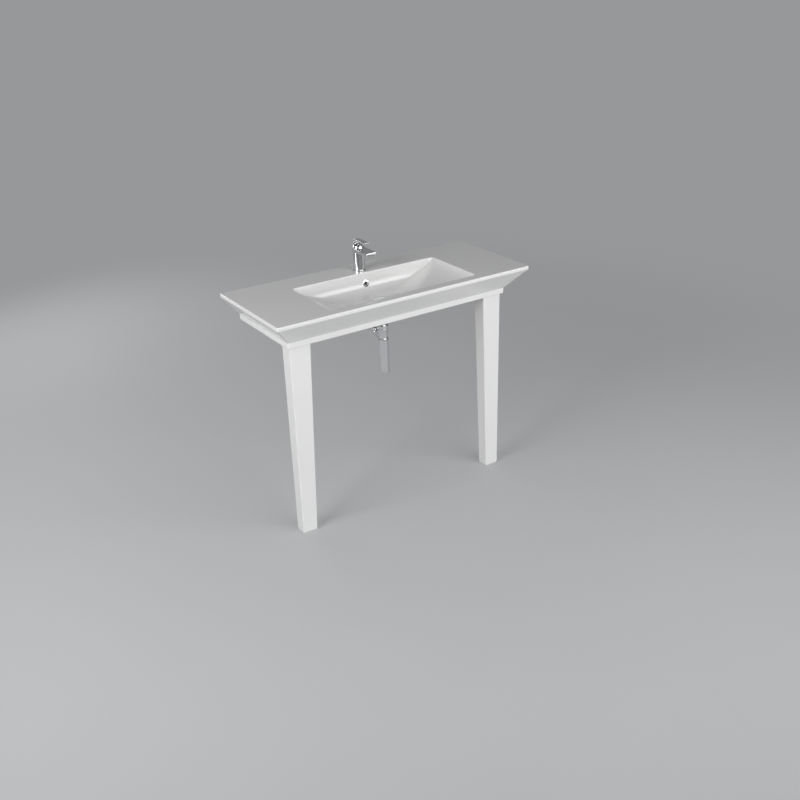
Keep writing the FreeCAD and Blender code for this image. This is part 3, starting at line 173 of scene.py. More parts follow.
class Effects:
    """The effects that several finishes share, each a node group made once.

    A span is the part of a cloud's values that is stretched to the effect's own ends. A finer cloud's scale
    is the effect's own, times the number given here.
    """

    VECTOR = "NodeSocketVector"
    NUMBER = "NodeSocketFloat"
    DRIFT_SPAN = (0.36, 0.64)
    GLOSS_SPAN = (0.38, 0.62)
    GLOSS_FINER = 14.0
    GLOSS_BROAD_SHARE = 0.65
    GLOSS_FINE_SHARE = 0.35
    SMUDGE_SPAN = (-0.08, 0.12)
    STREAK_FINER = 9.0
    STREAK_SPAN = (0.35, 0.7)
    STREAK_SHARE = (0.25, 1.0)
    DUST_POWER = 3.0
    DUST_SPAN = (0.4, 0.75)
    PEEL_FINER = 6.0
    PEEL_SHARE = 0.06
    LATHE_SQUEEZE = (0.02, 0.02, 1.0)
    GRAIN_SHARE = 0.5

    def __init__(self) -> None:
        """Builds every shared effect."""
        number, vector = self.NUMBER, self.VECTOR
        cloud = {"Vector": vector, "Scale": number}
        self.drift = self._make("tone_drift", cloud, "Mask", self._drift)
        self.gloss = self._make("gloss_spread", {**cloud, "Low": number, "High": number}, "Roughness",
                                self._gloss)
        self.smudge = self._make("smudges", {**cloud, "Cover": number}, "Mask", self._smudge)
        self.dust = self._make("settled_dust", {**cloud, "Normal": vector}, "Mask", self._dust)
        self.relief = {
            Marks.PEEL: self._make("soft_peel", cloud, "Height", self._peel),
            Marks.LATHE: self._make("lathe_rings", cloud, "Height", self._lathe),
            Marks.GRAIN: self._make("moulded_grain", cloud, "Height", self._grain),
        }

    def _make(self, name: str, inputs: dict[str, str], output: str,
              fill: Callable[[Graph, bpy.types.NodeSocketCollection], Socket]) -> bpy.types.NodeTree:
        """Makes one node group.

        Args:
            name: the group's name.
            inputs: socket types by input name.
            output: the name of its one output, a number.
            fill: draws the inside and gives the socket that is put out.

        Returns:
            The group's tree.
        """
        tree = bpy.data.node_groups.new(name, "ShaderNodeTree")
        for label, kind in inputs.items():
            tree.interface.new_socket(name=label, in_out="INPUT", socket_type=kind)
        tree.interface.new_socket(name=output, in_out="OUTPUT", socket_type=self.NUMBER)
        graph = Graph(tree)
        source = graph.node("NodeGroupInput").outputs
        graph.node("NodeGroupOutput", {output: fill(graph, source)})
        return tree

    def _drift(self, graph: Graph, source: bpy.types.NodeSocketCollection) -> Socket:
        """Slow change of tone: one soft cloud, stretched to the full span."""
        cloud = graph.noise(source["Vector"], source["Scale"], detail=3.0)
        return graph.remap(cloud, self.DRIFT_SPAN, UNIT)

    def _gloss(self, graph: Graph, source: bpy.types.NodeSocketCollection) -> Socket:
        """Roughness that wanders between its two ends with a broad and a fine cloud.

        Args:
            graph: the group's tree.
            source: the group's inputs.

        Returns:
            The roughness.
        """
        broad = graph.noise(source["Vector"], source["Scale"], detail=2.0)
        fine_scale = graph.sum("MULTIPLY", source["Scale"], self.GLOSS_FINER)
        fine = graph.noise(source["Vector"], fine_scale, detail=1.0)
        both = graph.sum("ADD", graph.sum("MULTIPLY", broad, self.GLOSS_BROAD_SHARE),
                         graph.sum("MULTIPLY", fine, self.GLOSS_FINE_SHARE))
        return graph.remap(both, self.GLOSS_SPAN, (source["Low"], source["High"]))

    def _smudge(self, graph: Graph, source: bpy.types.NodeSocketCollection) -> Socket:
        """Wiped patches: a cloud cut at a level, broken up by a finer streaky one.

        Args:
            graph: the group's tree.
            source: the group's inputs.

        Returns:
            A mask, one where the surface is smudged.
        """
        patch = graph.noise(source["Vector"], source["Scale"], detail=2.0)
        level = graph.sum("SUBTRACT", 1.0, source["Cover"])
        edge = graph.remap(graph.sum("SUBTRACT", patch, level), self.SMUDGE_SPAN, UNIT)
        streak_scale = graph.sum("MULTIPLY", source["Scale"], self.STREAK_FINER)
        streak = graph.noise(source["Vector"], streak_scale, detail=5.0, roughness=0.7)
        return graph.sum("MULTIPLY", edge, graph.remap(streak, self.STREAK_SPAN, self.STREAK_SHARE))

    def _dust(self, graph: Graph, source: bpy.types.NodeSocketCollection) -> Socket:
        """A thin film on what faces up: the cube of the normal's rise, broken up by a cloud.

        Args:
            graph: the group's tree.
            source: the group's inputs.

        Returns:
            A mask, one where the film is thickest.
        """
        rise = graph.node("ShaderNodeSeparateXYZ", {0: source["Normal"]}).outputs["Z"]
        cover = graph.sum("POWER", graph.sum("MAXIMUM", rise, 0.0), self.DUST_POWER)
        cloud = graph.noise(source["Vector"], source["Scale"], detail=5.0, roughness=0.65)
        return graph.sum("MULTIPLY", cover, graph.remap(cloud, self.DUST_SPAN, UNIT))

    def _peel(self, graph: Graph, source: bpy.types.NodeSocketCollection) -> Socket:
        """Long soft ripples under a faint peel six times finer.

        Args:
            graph: the group's tree.
            source: the group's inputs.

        Returns:
            The height.
        """
        ripple = graph.noise(source["Vector"], source["Scale"], detail=1.0)
        fine_scale = graph.sum("MULTIPLY", source["Scale"], self.PEEL_FINER)
        peel = graph.noise(source["Vector"], fine_scale, detail=0.0)
        return graph.sum("ADD", ripple, graph.sum("MULTIPLY", peel, self.PEEL_SHARE))

    def _lathe(self, graph: Graph, source: bpy.types.NodeSocketCollection) -> Socket:
        """Rings left by a tool: a noise squeezed along Z, so that it hardly changes round the piece."""
        squeeze = graph.node("ShaderNodeMapping", {"Vector": source["Vector"], "Scale": self.LATHE_SQUEEZE})
        return graph.noise(squeeze.outputs["Vector"], source["Scale"], detail=3.0, roughness=0.7)

    def _grain(self, graph: Graph, source: bpy.types.NodeSocketCollection) -> Socket:
        """Fine pebbled grain from the distance to scattered points, softened by a cloud.

        Args:
            graph: the group's tree.
            source: the group's inputs.

        Returns:
            The height.
        """
        points = {"Vector": source["Vector"], "Scale": source["Scale"]}
        cells = graph.node("ShaderNodeTexVoronoi", points, feature="SMOOTH_F1").outputs["Distance"]
        cloud = graph.noise(source["Vector"], source["Scale"], detail=4.0, roughness=0.6)
        return graph.sum("ADD", graph.sum("MULTIPLY", cells, self.GRAIN_SHARE),
                         graph.sum("MULTIPLY", cloud, self.GRAIN_SHARE))


EFFECTS = Effects()


@dataclass(frozen=True)
class Finish:
    """One finish: its colours, gloss, relief and film of dust.

    Colours are linear. Scales count spots to the metre, and the relief is the height of its marks in metres.
    """

    label: str
    colour: Colour
    drift_colour: Colour
    gloss: Span
    metallic: float = 0.0
    drift_scale: float = 14.0
    gloss_scale: float = 20.0
    marks: Marks = Marks.PEEL
    marks_scale: float = 12.0
    relief: float = 0.00005
    smudge_cover: float = 0.0
    smudge_rise: float = 0.12
    dust_colour: Colour = (0.52, 0.50, 0.47)
    dust_share: float = 0.0
    dust_scale: float = 60.0
    dust_rise: float = 0.3
    coat: float = 0.0
    coat_roughness: float = 0.05
    refraction: float = 1.5

    def material(self) -> bpy.types.Material:
        """Builds the finish once, and gives it back on later calls.

        Returns:
            The finish's material.
        """
        made = bpy.data.materials.get(self.label)
        if made:
            return made
        material = bpy.data.materials.new(self.label)
        material.use_nodes = True
        material.node_tree.nodes.clear()
        graph = Graph(material.node_tree)
        place = graph.node("ShaderNodeTexCoord").outputs["Object"]
        shape = graph.node("ShaderNodeNewGeometry").outputs["Normal"]
        shader = graph.node("ShaderNodeBsdfPrincipled")
        colour, roughness, coat = self.surface(graph, place, shape)
        height = graph.use(EFFECTS.relief[self.marks], {"Vector": place, "Scale": self.marks_scale})
        bump = graph.node("ShaderNodeBump", {"Height": height, "Distance": self.relief, "Strength": 1.0})
        for name, value in (("Base Color", colour), ("Roughness", roughness), ("Metallic", self.metallic),
                            ("Coat Weight", coat), ("Coat Roughness", self.coat_roughness),
                            ("IOR", self.refraction), ("Normal", bump.outputs["Normal"])):
            graph.feed(shader.inputs[name], value)
        graph.node("ShaderNodeOutputMaterial", {"Surface": shader.outputs["BSDF"]})
        return material

    def surface(self, graph: Graph, place: Socket, shape: Socket) -> tuple[Value, Value, Value]:
        """Draws the colour and gloss.

        Args:
            graph: the material's tree.
            place: Object coordinates.
            shape: the surface's normal.

        Returns:
            The base colour, the roughness and the weight of the clear coat.
        """
        drift = graph.use(EFFECTS.drift, {"Vector": place, "Scale": self.drift_scale})
        colour = graph.mix(drift, self.colour, self.drift_colour)
        low, high = self.gloss
        spread = {"Vector": place, "Scale": self.gloss_scale, "Low": low, "High": high}
        roughness = graph.use(EFFECTS.gloss, spread)
        if self.smudge_cover:
            patch = {"Vector": place, "Scale": self.gloss_scale, "Cover": self.smudge_cover}
            smudge = graph.use(EFFECTS.smudge, patch)
            roughness = graph.sum("ADD", roughness, graph.sum("MULTIPLY", smudge, self.smudge_rise))
        if self.dust_share:
            film = graph.use(EFFECTS.dust, {"Vector": place, "Normal": shape, "Scale": self.dust_scale})
            film = graph.sum("MULTIPLY", film, self.dust_share)
            colour = graph.mix(film, colour, self.dust_colour)
            roughness = graph.sum("ADD", roughness, graph.sum("MULTIPLY", film, self.dust_rise))
        return colour, roughness, self.coat


@dataclass(frozen=True)
class GlazedCeramic(Finish):
    """White glaze over fired clay, which stays bare where the piece meets the wall and inside its hollow."""

    clay: Colour = (0.70, 0.665, 0.60)
    clay_roughness: float = 0.82
    rim_low: float = 0.062
    plate_low: float = 0.0615
    skirt_low: float = -0.060
    deck_half: float = 0.540
    deck_depth: float = 0.436
    apron_slope: float = 67.0 / 79.0
    apron_wall: float = 0.010
    wall_gap: float = 0.0015
    facing_wall: Span = (0.9, 0.97)
    facing_down: Span = (-0.12, -0.3)
    edge_blend: float = 0.003
    level_blend: float = 0.001

    def surface(self, graph: Graph, place: Socket, shape: Socket) -> tuple[Value, Value, Value]:
        """Draws the glaze, then clears it to clay on the back and the underside.

        Args:
            graph: the material's tree.
            place: Object coordinates.
            shape: the surface's normal.

        Returns:
            The base colour, the roughness and the weight of the clear coat.
        """
        colour, roughness, _ = super().surface(graph, place, shape)
        bare = self.bare(graph, place, shape)
        colour = graph.mix(bare, colour, self.clay)
        roughness = graph.remap(bare, UNIT, (roughness, self.clay_roughness))
        coat = graph.remap(bare, UNIT, (self.coat, 0.0))
        return colour, roughness, coat

    def bare(self, graph: Graph, place: Socket, shape: Socket) -> Socket:
        """Masks the bare clay: faces on the wall plane, and downward faces that lie inside the apron.

        Args:
            graph: the material's tree.
            place: Object coordinates.
            shape: the surface's normal.

        Returns:
            A mask, one on clay and zero on glaze.
        """
        across, deep, high = graph.node("ShaderNodeSeparateXYZ", {0: place}).outputs
        _, back, rise = graph.node("ShaderNodeSeparateXYZ", {0: shape}).outputs
        on_wall = graph.sum("MULTIPLY", graph.remap(back, self.facing_wall, UNIT),
                            graph.remap(deep, (-self.wall_gap * 2, -self.wall_gap), UNIT))
        lean = graph.sum("MULTIPLY", graph.sum("SUBTRACT", self.rim_low, high), self.apron_slope)
        lean = graph.sum("ADD", lean, self.apron_wall)
        from_front = graph.sum("SUBTRACT", graph.sum("ADD", deep, self.deck_depth), lean)
        from_end = graph.sum("SUBTRACT", self.deck_half, graph.sum("ABSOLUTE", across))
        nearest = graph.sum("MINIMUM", from_front, graph.sum("SUBTRACT", from_end, lean))
        inside = graph.remap(nearest, (0.0, self.edge_blend), UNIT)
        down = graph.remap(rise, self.facing_down, UNIT)
        under_plate = graph.remap(high, (self.plate_low, self.plate_low + self.level_blend), (1.0, 0.0))
        over_skirt = graph.remap(high, (self.skirt_low - self.level_blend, self.skirt_low), UNIT)
        level = graph.sum("MULTIPLY", under_plate, over_skirt)
        below = graph.sum("MULTIPLY", graph.sum("MULTIPLY", inside, down), level)
        return graph.sum("MAXIMUM", on_wall, below)


@dataclass(frozen=True)
class IndexPlastic(Finish):
    """The lever's index plug: red on the hot side and blue on the cold one, either side of the middle."""

    hot: Colour = (0.62, 0.03, 0.025)
    cold: Colour = (0.02, 0.10, 0.50)
    seam: float = 0.0003

    def surface(self, graph: Graph, place: Socket, shape: Socket) -> tuple[Value, Value, Value]:
        """Splits the plug's colour at the middle plane.

        Args:
            graph: the material's tree.
            place: Object coordinates.
            shape: the surface's normal.

        Returns:
            The base colour, the roughness and the weight of the clear coat.
        """
        _, roughness, coat = super().surface(graph, place, shape)
        across = graph.node("ShaderNodeSeparateXYZ", {0: place}).outputs["X"]
        split = graph.remap(across, (-self.seam, self.seam), UNIT)
        return graph.mix(split, self.hot, self.cold), roughness, coat


@dataclass(frozen=True)
class Finishes:
    """Every finish on the washbasin."""

    glaze: Finish = GlazedCeramic("white_glaze", (0.86, 0.863, 0.858), (0.85, 0.852, 0.845), (0.24, 0.27),
                                  drift_scale=5.0, gloss_scale=1.2, marks_scale=9.0, relief=0.00005, coat=1.0,
                                  coat_roughness=0.12)
    chrome: Finish = Finish("plated_chrome", (0.76, 0.77, 0.785), (0.73, 0.74, 0.75), (0.035, 0.075),
                            metallic=1.0, drift_scale=30.0, gloss_scale=45.0, marks_scale=60.0,
                            relief=0.000004, smudge_cover=0.42, smudge_rise=0.10)
    steel: Finish = Finish("zinc_steel", (0.50, 0.51, 0.53), (0.55, 0.53, 0.47), (0.28, 0.46), metallic=1.0,
                           drift_scale=120.0, gloss_scale=160.0, marks=Marks.GRAIN, marks_scale=1800.0,
                           relief=0.00003, dust_share=0.25)
    brass: Finish = Finish("turned_brass", (0.66, 0.50, 0.25), (0.55, 0.40, 0.20), (0.26, 0.42), metallic=1.0,
                           drift_scale=70.0, gloss_scale=90.0, marks=Marks.LATHE, marks_scale=1500.0,
                           relief=0.00004, dust_share=0.2)
    black_rubber: Finish = Finish("black_rubber", (0.026, 0.026, 0.028), (0.040, 0.040, 0.041), (0.55, 0.78),
                                  drift_scale=90.0, gloss_scale=80.0, marks=Marks.GRAIN, marks_scale=900.0,
                                  relief=0.00005, dust_share=0.2)
    white_rubber: Finish = Finish("pale_silicone", (0.74, 0.74, 0.725), (0.69, 0.69, 0.67), (0.42, 0.6),
                                  drift_scale=60.0, gloss_scale=60.0, marks=Marks.GRAIN, marks_scale=700.0,
                                  relief=0.00003)
    plastic: Finish = Finish("moulded_plastic", (0.62, 0.63, 0.64), (0.58, 0.59, 0.60), (0.34, 0.48),
                             drift_scale=80.0, gloss_scale=70.0, marks=Marks.GRAIN, marks_scale=1100.0,
                             relief=0.00002)
    index: Finish = IndexPlastic("index_plastic", (0.5, 0.5, 0.5), (0.5, 0.5, 0.5), (0.12, 0.2),
                                 gloss_scale=200.0, marks_scale=300.0, relief=0.00001, coat=0.4)


def circle(columns: int) -> np.ndarray:
    """Even angles round a full turn, as one row."""
    return np.linspace(0.0, FULL_TURN, columns, endpoint=False)[None, :]


def around(radius: np.ndarray, height: np.ndarray, angle: np.ndarray, centre: Vector,
           lying: bool = False) -> np.ndarray:
    """Places polar points: out by the radius at the angle, and along the axis by the height.

    Args:
        radius: distance of each point from the axis.
        height: distance of each point along the axis.
        angle: angle of each point round the axis.
        centre: where the axis starts.
        lying: whether the axis runs along Y, into the wall, instead of up.

    Returns:
        Points in an array with three coordinates last.
    """
    across, aside, along = np.broadcast_arrays(radius * np.cos(angle), radius * np.sin(angle), height)
    order = (across, along, -aside) if lying else (across, aside, along)
    return np.stack(order, axis=-1) + np.array(centre)


def skin(name: str, rows: np.ndarray, ring: bool) -> bpy.types.Object:
    """Makes an object from a grid of points whose columns run round it and close.

    Quads join each row to the next. A ring's last row also joins its first; any other skin gets a flat cap
    on both ends. The faces are turned round where the volume that they enclose comes out negative.

    Args:
        name: the piece's name.
        rows: points in an array of rows, columns and three coordinates.
        ring: whether the rows close as well.

    Returns:
        The new object, at the origin.
    """
    count, columns = rows.shape[:2]
    index = np.arange(count * columns).reshape(count, columns)
    upper = np.roll(index, -1, axis=0) if ring else index[1:]
    lower = index if ring else index[:-1]
    corners = (lower, np.roll(lower, -1, axis=1), np.roll(upper, -1, axis=1), upper)
    quads = np.stack(corners, axis=-1).reshape(-1, 4)
    points = rows.reshape(-1, 3)
    middle = points - points.mean(axis=0)
    first, second, third, fourth = (middle[quads[:, corner]] for corner in range(4))
    volume = np.einsum("ij,ij->i", first, np.cross(second, third) + np.cross(third, fourth)).sum()
    faces = quads.tolist()
    if not ring:
        faces += [index[0][::-1].tolist(), index[-1].tolist()]
    if volume < 0:
        faces = [face[::-1] for face in faces]
    mesh = bpy.data.meshes.new(name)
    mesh.from_pydata(points.tolist(), [], faces)
    mesh.polygons.foreach_set("use_smooth", np.ones(len(mesh.polygons), dtype=bool))
    mesh.set_sharp_from_angle(angle=SHARP_EDGE)
    item = bpy.data.objects.new(name, mesh)
    bpy.context.scene.collection.objects.link(item)
    return item


def joined(name: str, pieces: list[bpy.types.Object]) -> bpy.types.Object:
    """Joins several pieces of one kind into one object.

    Args:
        name: the joined piece's name.
        pieces: the pieces, of which the first takes up the others.

    Returns:
        The joined piece.
    """
    whole = pieces[0]
    with bpy.context.temp_override(active_object=whole, object=whole, selected_objects=pieces,
                                   selected_editable_objects=pieces):
        bpy.ops.object.join()
    whole.name = name
    whole.data.name = name
    return whole


@dataclass
class Thread:
    """A screw thread: its pitch, how deep it is cut and how finely it is drawn.

    Steepness is given as the change over one pitch.
    """

    pitch: float
    depth: float
    columns: int = 24
    steps: int = 8
    groove_top: float = 1.25
    groove_steepness: float = 4.0
    end_steepness: float = 1.5
    swell_steepness: float = 3.0
    least_swell: float = 0.02
    ridge_out: tuple[float, ...] = (-0.25, 1.0, 1.0, -0.25)
    ridge_rise: tuple[float, ...] = (-0.42, -0.08, 0.08, 0.42)

    def rod(self, name: str, centre: Vector, radius: float, length: float) -> bpy.types.Object:
        """Makes a threaded rod.

        The radius falls from the crest by the depth times a clipped triangle wave of height over pitch less
        angle over a turn. Over the first and the last pitch a chamfer takes its place where it is deeper.

        Args:
            name: the piece's name.
            centre: the middle of the rod's lower end.
            radius: the radius over the crests.
            length: the rod's length.

        Returns:
            The rod.
        """
        angle = circle(self.columns)
        height = np.linspace(0.0, length, int(length / self.pitch * self.steps) + 1)[:, None]
        phase = np.mod(height / self.pitch - angle / FULL_TURN, 1.0)
        groove = np.clip(self.groove_top - np.abs(phase - 0.5) * self.groove_steepness, 0.0, 1.0)
        end = np.minimum(height, length - height) / self.pitch
        chamfer = self.depth * np.clip(1.0 - end * self.end_steepness, 0.0, 1.0)
        cut = np.maximum(self.depth * groove, chamfer)
        return skin(name, around(radius - cut, height, angle, centre), ring=False)

    def ridge(self, name: str, centre: Vector, radius: float, length: float) -> bpy.types.Object:
        """Makes a thread's ridge on a plain tube.

        A blunt triangle of the thread's depth is carried along a helix, and shrinks at both ends.

        Args:
            name: the piece's name.
            centre: the middle of the thread's lower end.
            radius: the tube's outer radius.
            length: how far the thread runs along the tube.

        Returns:
            The ridge.
        """
        turns = length / self.pitch
        share = np.linspace(0.0, 1.0, int(turns * self.columns * 2) + 1)[:, None]
        from_end = np.minimum(share, 1.0 - share) * turns
        swell = np.clip(from_end * self.swell_steepness, self.least_swell, 1.0)
        out = np.array(self.ridge_out)[None, :] * self.depth
        rise = np.array(self.ridge_rise)[None, :] * self.pitch
        height = share * length + rise * swell
        return skin(name, around(radius + out * swell, height, share * turns * FULL_TURN, centre), ring=False)


@dataclass
class HexNut:
    """A hexagon nut with both faces chamfered, bored for its screw.

    Levels are shares of the nut's height, closest together where the chamfer meets the flats.
    """

    height: float
    bore: float
    columns: int = 72
    chamfer_share: float = 0.955
    chamfer_angle: float = 60.0
    lead_share: float = 0.06
    levels: tuple[float, ...] = (0.0, 0.04, 0.09, 0.15, 0.22, 0.78, 0.85, 0.91, 0.96, 1.0)

    def make(self, name: str, centre: Vector, apothem: float) -> bpy.types.Object:
        """Makes the nut.

        The outer radius is the smaller of the hexagon's, apothem over the cosine of the angle from the
        nearest flat's middle, and a cone's, which starts inside the corners at both faces and opens by the
        chamfer's angle.

        Args:
            name: the piece's name.
            centre: the middle of the nut's lower face.
            apothem: half the width over the flats.

        Returns:
            The nut, with a corner on the X axis.
        """
        angle = circle(self.columns)
        sixth = FULL_TURN / 6
        flat = apothem / np.cos(np.mod(angle, sixth) - sixth / 2)
        share = np.array(self.levels)[:, None]
        near_face = np.minimum(share, 1.0 - share) * self.height
        corner = apothem / math.cos(sixth / 2)
        cone = corner * self.chamfer_share + near_face * math.tan(math.radians(self.chamfer_angle))
        outer = np.minimum(np.broadcast_to(flat, (len(share), self.columns)), cone)
        lead = self.bore * self.lead_share
        inner = np.array([lead, 0.0, 0.0, lead])[:, None] + self.bore
        inner_height = np.array([self.height, self.height - lead, lead, 0.0])[:, None]
        radius = np.concatenate([outer, np.broadcast_to(inner, (len(inner), self.columns))])
        height = np.concatenate([share * self.height, inner_height])
        return skin(name, around(radius, height, angle, centre), ring=True)


@dataclass
class GripNut:
    """A round union nut with shallow flutes for the fingers.

    The waist's levels are shares of the nut's height, between its two rounded edges.
    """

    flutes: int = 20
    depth: float = 0.0009
    columns: int = 200
    edge: float = 0.0016
    edge_steps: int = 6
    waist: tuple[float, ...] = (0.2, 0.3, 0.7, 0.8)
    fade_steepness: float = 5.0
    fade_start: float = 0.5

    def make(self, name: str, centre: Vector, outer: float, bore: float, height: float,
             lying: bool) -> bpy.types.Object:
        """Makes the nut.

        The outer radius falls by the depth times a raised cosine of flutes times the angle. The flutes fade
        out near both faces, where a quarter circle rounds the edge.

        Args:
            name: the piece's name.
            centre: the middle of the nut's first face.
            outer: the radius over the lands.
            bore: the radius of the hole.
            height: the nut's length along its axis.
            lying: whether the axis runs along Y.

        Returns:
            The nut.
        """
        angle = circle(self.columns)
        turn = np.linspace(0.0, math.pi / 2, self.edge_steps)[:, None]
        low = self.edge * (1.0 - np.cos(turn))
        drop = self.edge * (1.0 - np.sin(turn))
        waist = np.array(self.waist)[:, None] * height
        along = np.concatenate([low, waist, (height - low)[::-1]])
        inset = np.concatenate([drop, np.zeros_like(waist), drop[::-1]])
        from_face = np.minimum(along, height - along) / height
        fade = np.clip(from_face * self.fade_steepness - self.fade_start, 0.0, 1.0)
        flute = self.depth * (0.5 + 0.5 * np.cos(angle * self.flutes)) * fade
        radius = np.concatenate([outer - inset - flute, np.full((2, self.columns), bore)])
        levels = np.concatenate([along, np.array([[height], [0.0]])])
        return skin(name, around(radius, levels, angle, centre, lying), ring=True)


@dataclass
class Assembly:
    """Pieces that belong together: it dresses their solids and builds what replaces some of them."""

    finishes: Finishes
    body: str = "basin_set"

    def solids(self) -> dict[str, Finish]:
        """The finish of each solid that this assembly shows."""
        return {}

    def build(self) -> None:
        """Makes the assembly's own pieces."""

    def dress(self) -> None:
        """Gives every solid its finish and builds the finer pieces."""
        for node, finish in self.solids().items():
            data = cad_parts[node].data
            data.materials.clear()
            data.materials.append(finish.material())
            log.info("%s gets %s", node, finish.label)
        self.build()

    def place(self, piece: bpy.types.Object, finish: Finish, slot: str, *nodes: str) -> None:
        """Finishes a new piece, lets it ride on the body and hides the solids that it stands for.

        Args:
            piece: the new piece.
            finish: its finish.
            slot: not used.
            nodes: the solids that it replaces.
        """
        piece.data.materials.append(finish.material())
        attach(piece, self.body)
        if nodes:
            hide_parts(*nodes)
        log.info("%s made, %d faces", piece.name, len(piece.data.polygons))


@dataclass
class Casting(Assembly):
    """The ceramic basin and the plated ring in its overflow."""

    def solids(self) -> dict[str, Finish]:
        """Glaze on the casting and chrome on the ring."""
        return {"basin": self.finishes.glaze, "overflow_ring": self.finishes.chrome}


@dataclass
class Legs(Assembly):
    """The two ceramic legs, with the studs, nuts and washers that hold them to the basin."""

    stud: Thread = field(default_factory=lambda: Thread(pitch=0.00125, depth=0.0007))
    nut: HexNut = field(default_factory=lambda: HexNut(height=0.0065, bore=0.0041))

    def solids(self) -> dict[str, Finish]:
        """Glaze on the legs, silicone on their plates and zinc on the washers."""
        kit = self.finishes
        return {"leg_left": kit.glaze, "leg_right": kit.glaze, "leg_gasket_left": kit.white_rubber,
                "leg_gasket_right": kit.white_rubber, "foot_pad_left": kit.white_rubber,
                "foot_pad_right": kit.white_rubber, "leg_washers": kit.steel}

    def build(self) -> None:
        """Cuts the studs' threads and makes the chamfered nuts."""
        low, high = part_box("leg_studs")
        nut_low, nut_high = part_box("leg_nuts")
        radius = (high.y - low.y) / 2
        apothem = (nut_high.y - nut_low.y) / 2
        spot = Vector((high.x - radius, (low.y + high.y) / 2, low.z))
        studs, nuts = [], []
        for side in Side:
            label = side.name.lower()
            across = spot.x * side.value
            foot = Vector((across, spot.y, spot.z))
            studs.append(self.stud.rod(f"leg_stud_{label}", foot, radius, high.z - low.z))
            for level in (nut_low.z, nut_high.z - self.nut.height):
                nuts.append(self.nut.make(f"leg_nut_{label}", Vector((across, spot.y, level)), apothem))
        self.place(joined("leg_stud_threads", studs), self.finishes.steel, "steel", "leg_studs")
        self.place(joined("leg_hex_nuts", nuts), self.finishes.steel, "steel", "leg_nuts")


@dataclass
class Tap(Assembly):
    """The single-lever mixer, its cartridge and what clamps it under the deck."""

    stud: Thread = field(default_factory=lambda: Thread(pitch=0.001, depth=0.0006))
    nut_bore: float = 0.0031

    def solids(self) -> dict[str, Finish]:
        """Chrome outside; plastic, steel and brass inside."""
        kit = self.finishes
        return {"tap_body": kit.chrome, "lever": kit.chrome, "aerator_housing": kit.chrome,
                "aerator_insert": kit.plastic, "aerator_washer": kit.black_rubber,
                "tap_base_gasket": kit.black_rubber, "tap_clamp_rubber": kit.black_rubber,
                "tap_clamp_plate": kit.steel, "cartridge_housing": kit.plastic,
                "cartridge_ring_nut": kit.brass, "cartridge_rotor": kit.plastic, "cartridge_pin": kit.steel,
                "cartridge_spindle": kit.steel, "lever_index_plug": kit.index, "lever_grub_screw": kit.steel}

    def build(self) -> None:
        """Cuts the clamp stud's thread and makes its nut."""
        low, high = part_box("tap_stud")
        middle = (low + high) / 2
        foot = Vector((middle.x, middle.y, low.z))
        stud = self.stud.rod("tap_stud_thread", foot, (high.x - low.x) / 2, high.z - low.z)
        self.place(stud, self.finishes.steel, "steel", "tap_stud")
        low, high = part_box("tap_clamp_nut")
        middle = (low + high) / 2
        foot = Vector((middle.x, middle.y, low.z))
        nut = HexNut(height=high.z - low.z, bore=self.nut_bore)
        piece = nut.make("tap_clamp_hex_nut", foot, (high.y - low.y) / 2)
        self.place(piece, self.finishes.brass, "brass", "tap_clamp_nut")


@dataclass
class Waste(Assembly):
    """The push-plug waste in the drain, with its seals, lock nut and tail pipe."""

    thread: Thread = field(default_factory=lambda: Thread(pitch=0.0023, depth=0.0006))
    nut_bore: float = 0.0222
    tube_radius: float = 0.022
    thread_gap: float = 0.0006

    def solids(self) -> dict[str, Finish]:
        """Chrome where it shows, rubber seals and a plastic guide."""
        kit = self.finishes
        return {"waste_body": kit.chrome, "waste_tail": kit.chrome, "waste_plug": kit.chrome,
                "waste_top_seal": kit.black_rubber, "waste_cone_seal": kit.black_rubber,
                "waste_plug_seal": kit.black_rubber, "waste_plug_stem": kit.steel,
                "waste_plug_guide": kit.plastic}

    def build(self) -> None:
        """Makes the lock nut and the thread that shows below it."""
        low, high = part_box("waste_lock_nut")
        middle = (low + high) / 2
        nut = HexNut(height=high.z - low.z, bore=self.nut_bore)
        piece = nut.make("waste_hex_nut", Vector((middle.x, middle.y, low.z)), (high.y - low.y) / 2)
        self.place(piece, self.finishes.brass, "brass", "waste_lock_nut")
        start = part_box("waste_body")[0].z + self.thread_gap
        length = low.z - self.thread_gap - start
        foot = Vector((middle.x, middle.y, start))
        ridge = self.thread.ridge("waste_thread", foot, self.tube_radius, length)
        self.place(ridge, self.finishes.chrome, "chrome")


@dataclass
class Trap(Assembly):
    """The chrome bottle trap and its pipe to the wall."""

    grip: GripNut = field(default_factory=GripNut)
    nut_bore: float = 0.0162

    def solids(self) -> dict[str, Finish]:
        """Chrome all over, with rubber at the joints."""
        kit = self.finishes
        return {"trap_head": kit.chrome, "trap_bottle": kit.chrome, "trap_outlet_pipe": kit.chrome,
                "wall_rosette": kit.chrome, "trap_dip_tube": kit.plastic, "trap_inlet_seal": kit.black_rubber,
                "trap_bottle_seal": kit.black_rubber, "trap_outlet_seal": kit.black_rubber}

    def build(self) -> None:
        """Makes the two fluted union nuts."""
        for node, lying in (("trap_inlet_nut", False), ("trap_outlet_nut", True)):
            low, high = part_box(node)
            middle = (low + high) / 2
            size = high - low
            start = Vector((middle.x, low.y, middle.z)) if lying else Vector((middle.x, middle.y, low.z))
            length = size.y if lying else size.z
            piece = self.grip.make(f"{node}_fluted", start, size.x / 2, self.nut_bore, length, lying)
            self.place(piece, self.finishes.chrome, "chrome", node)


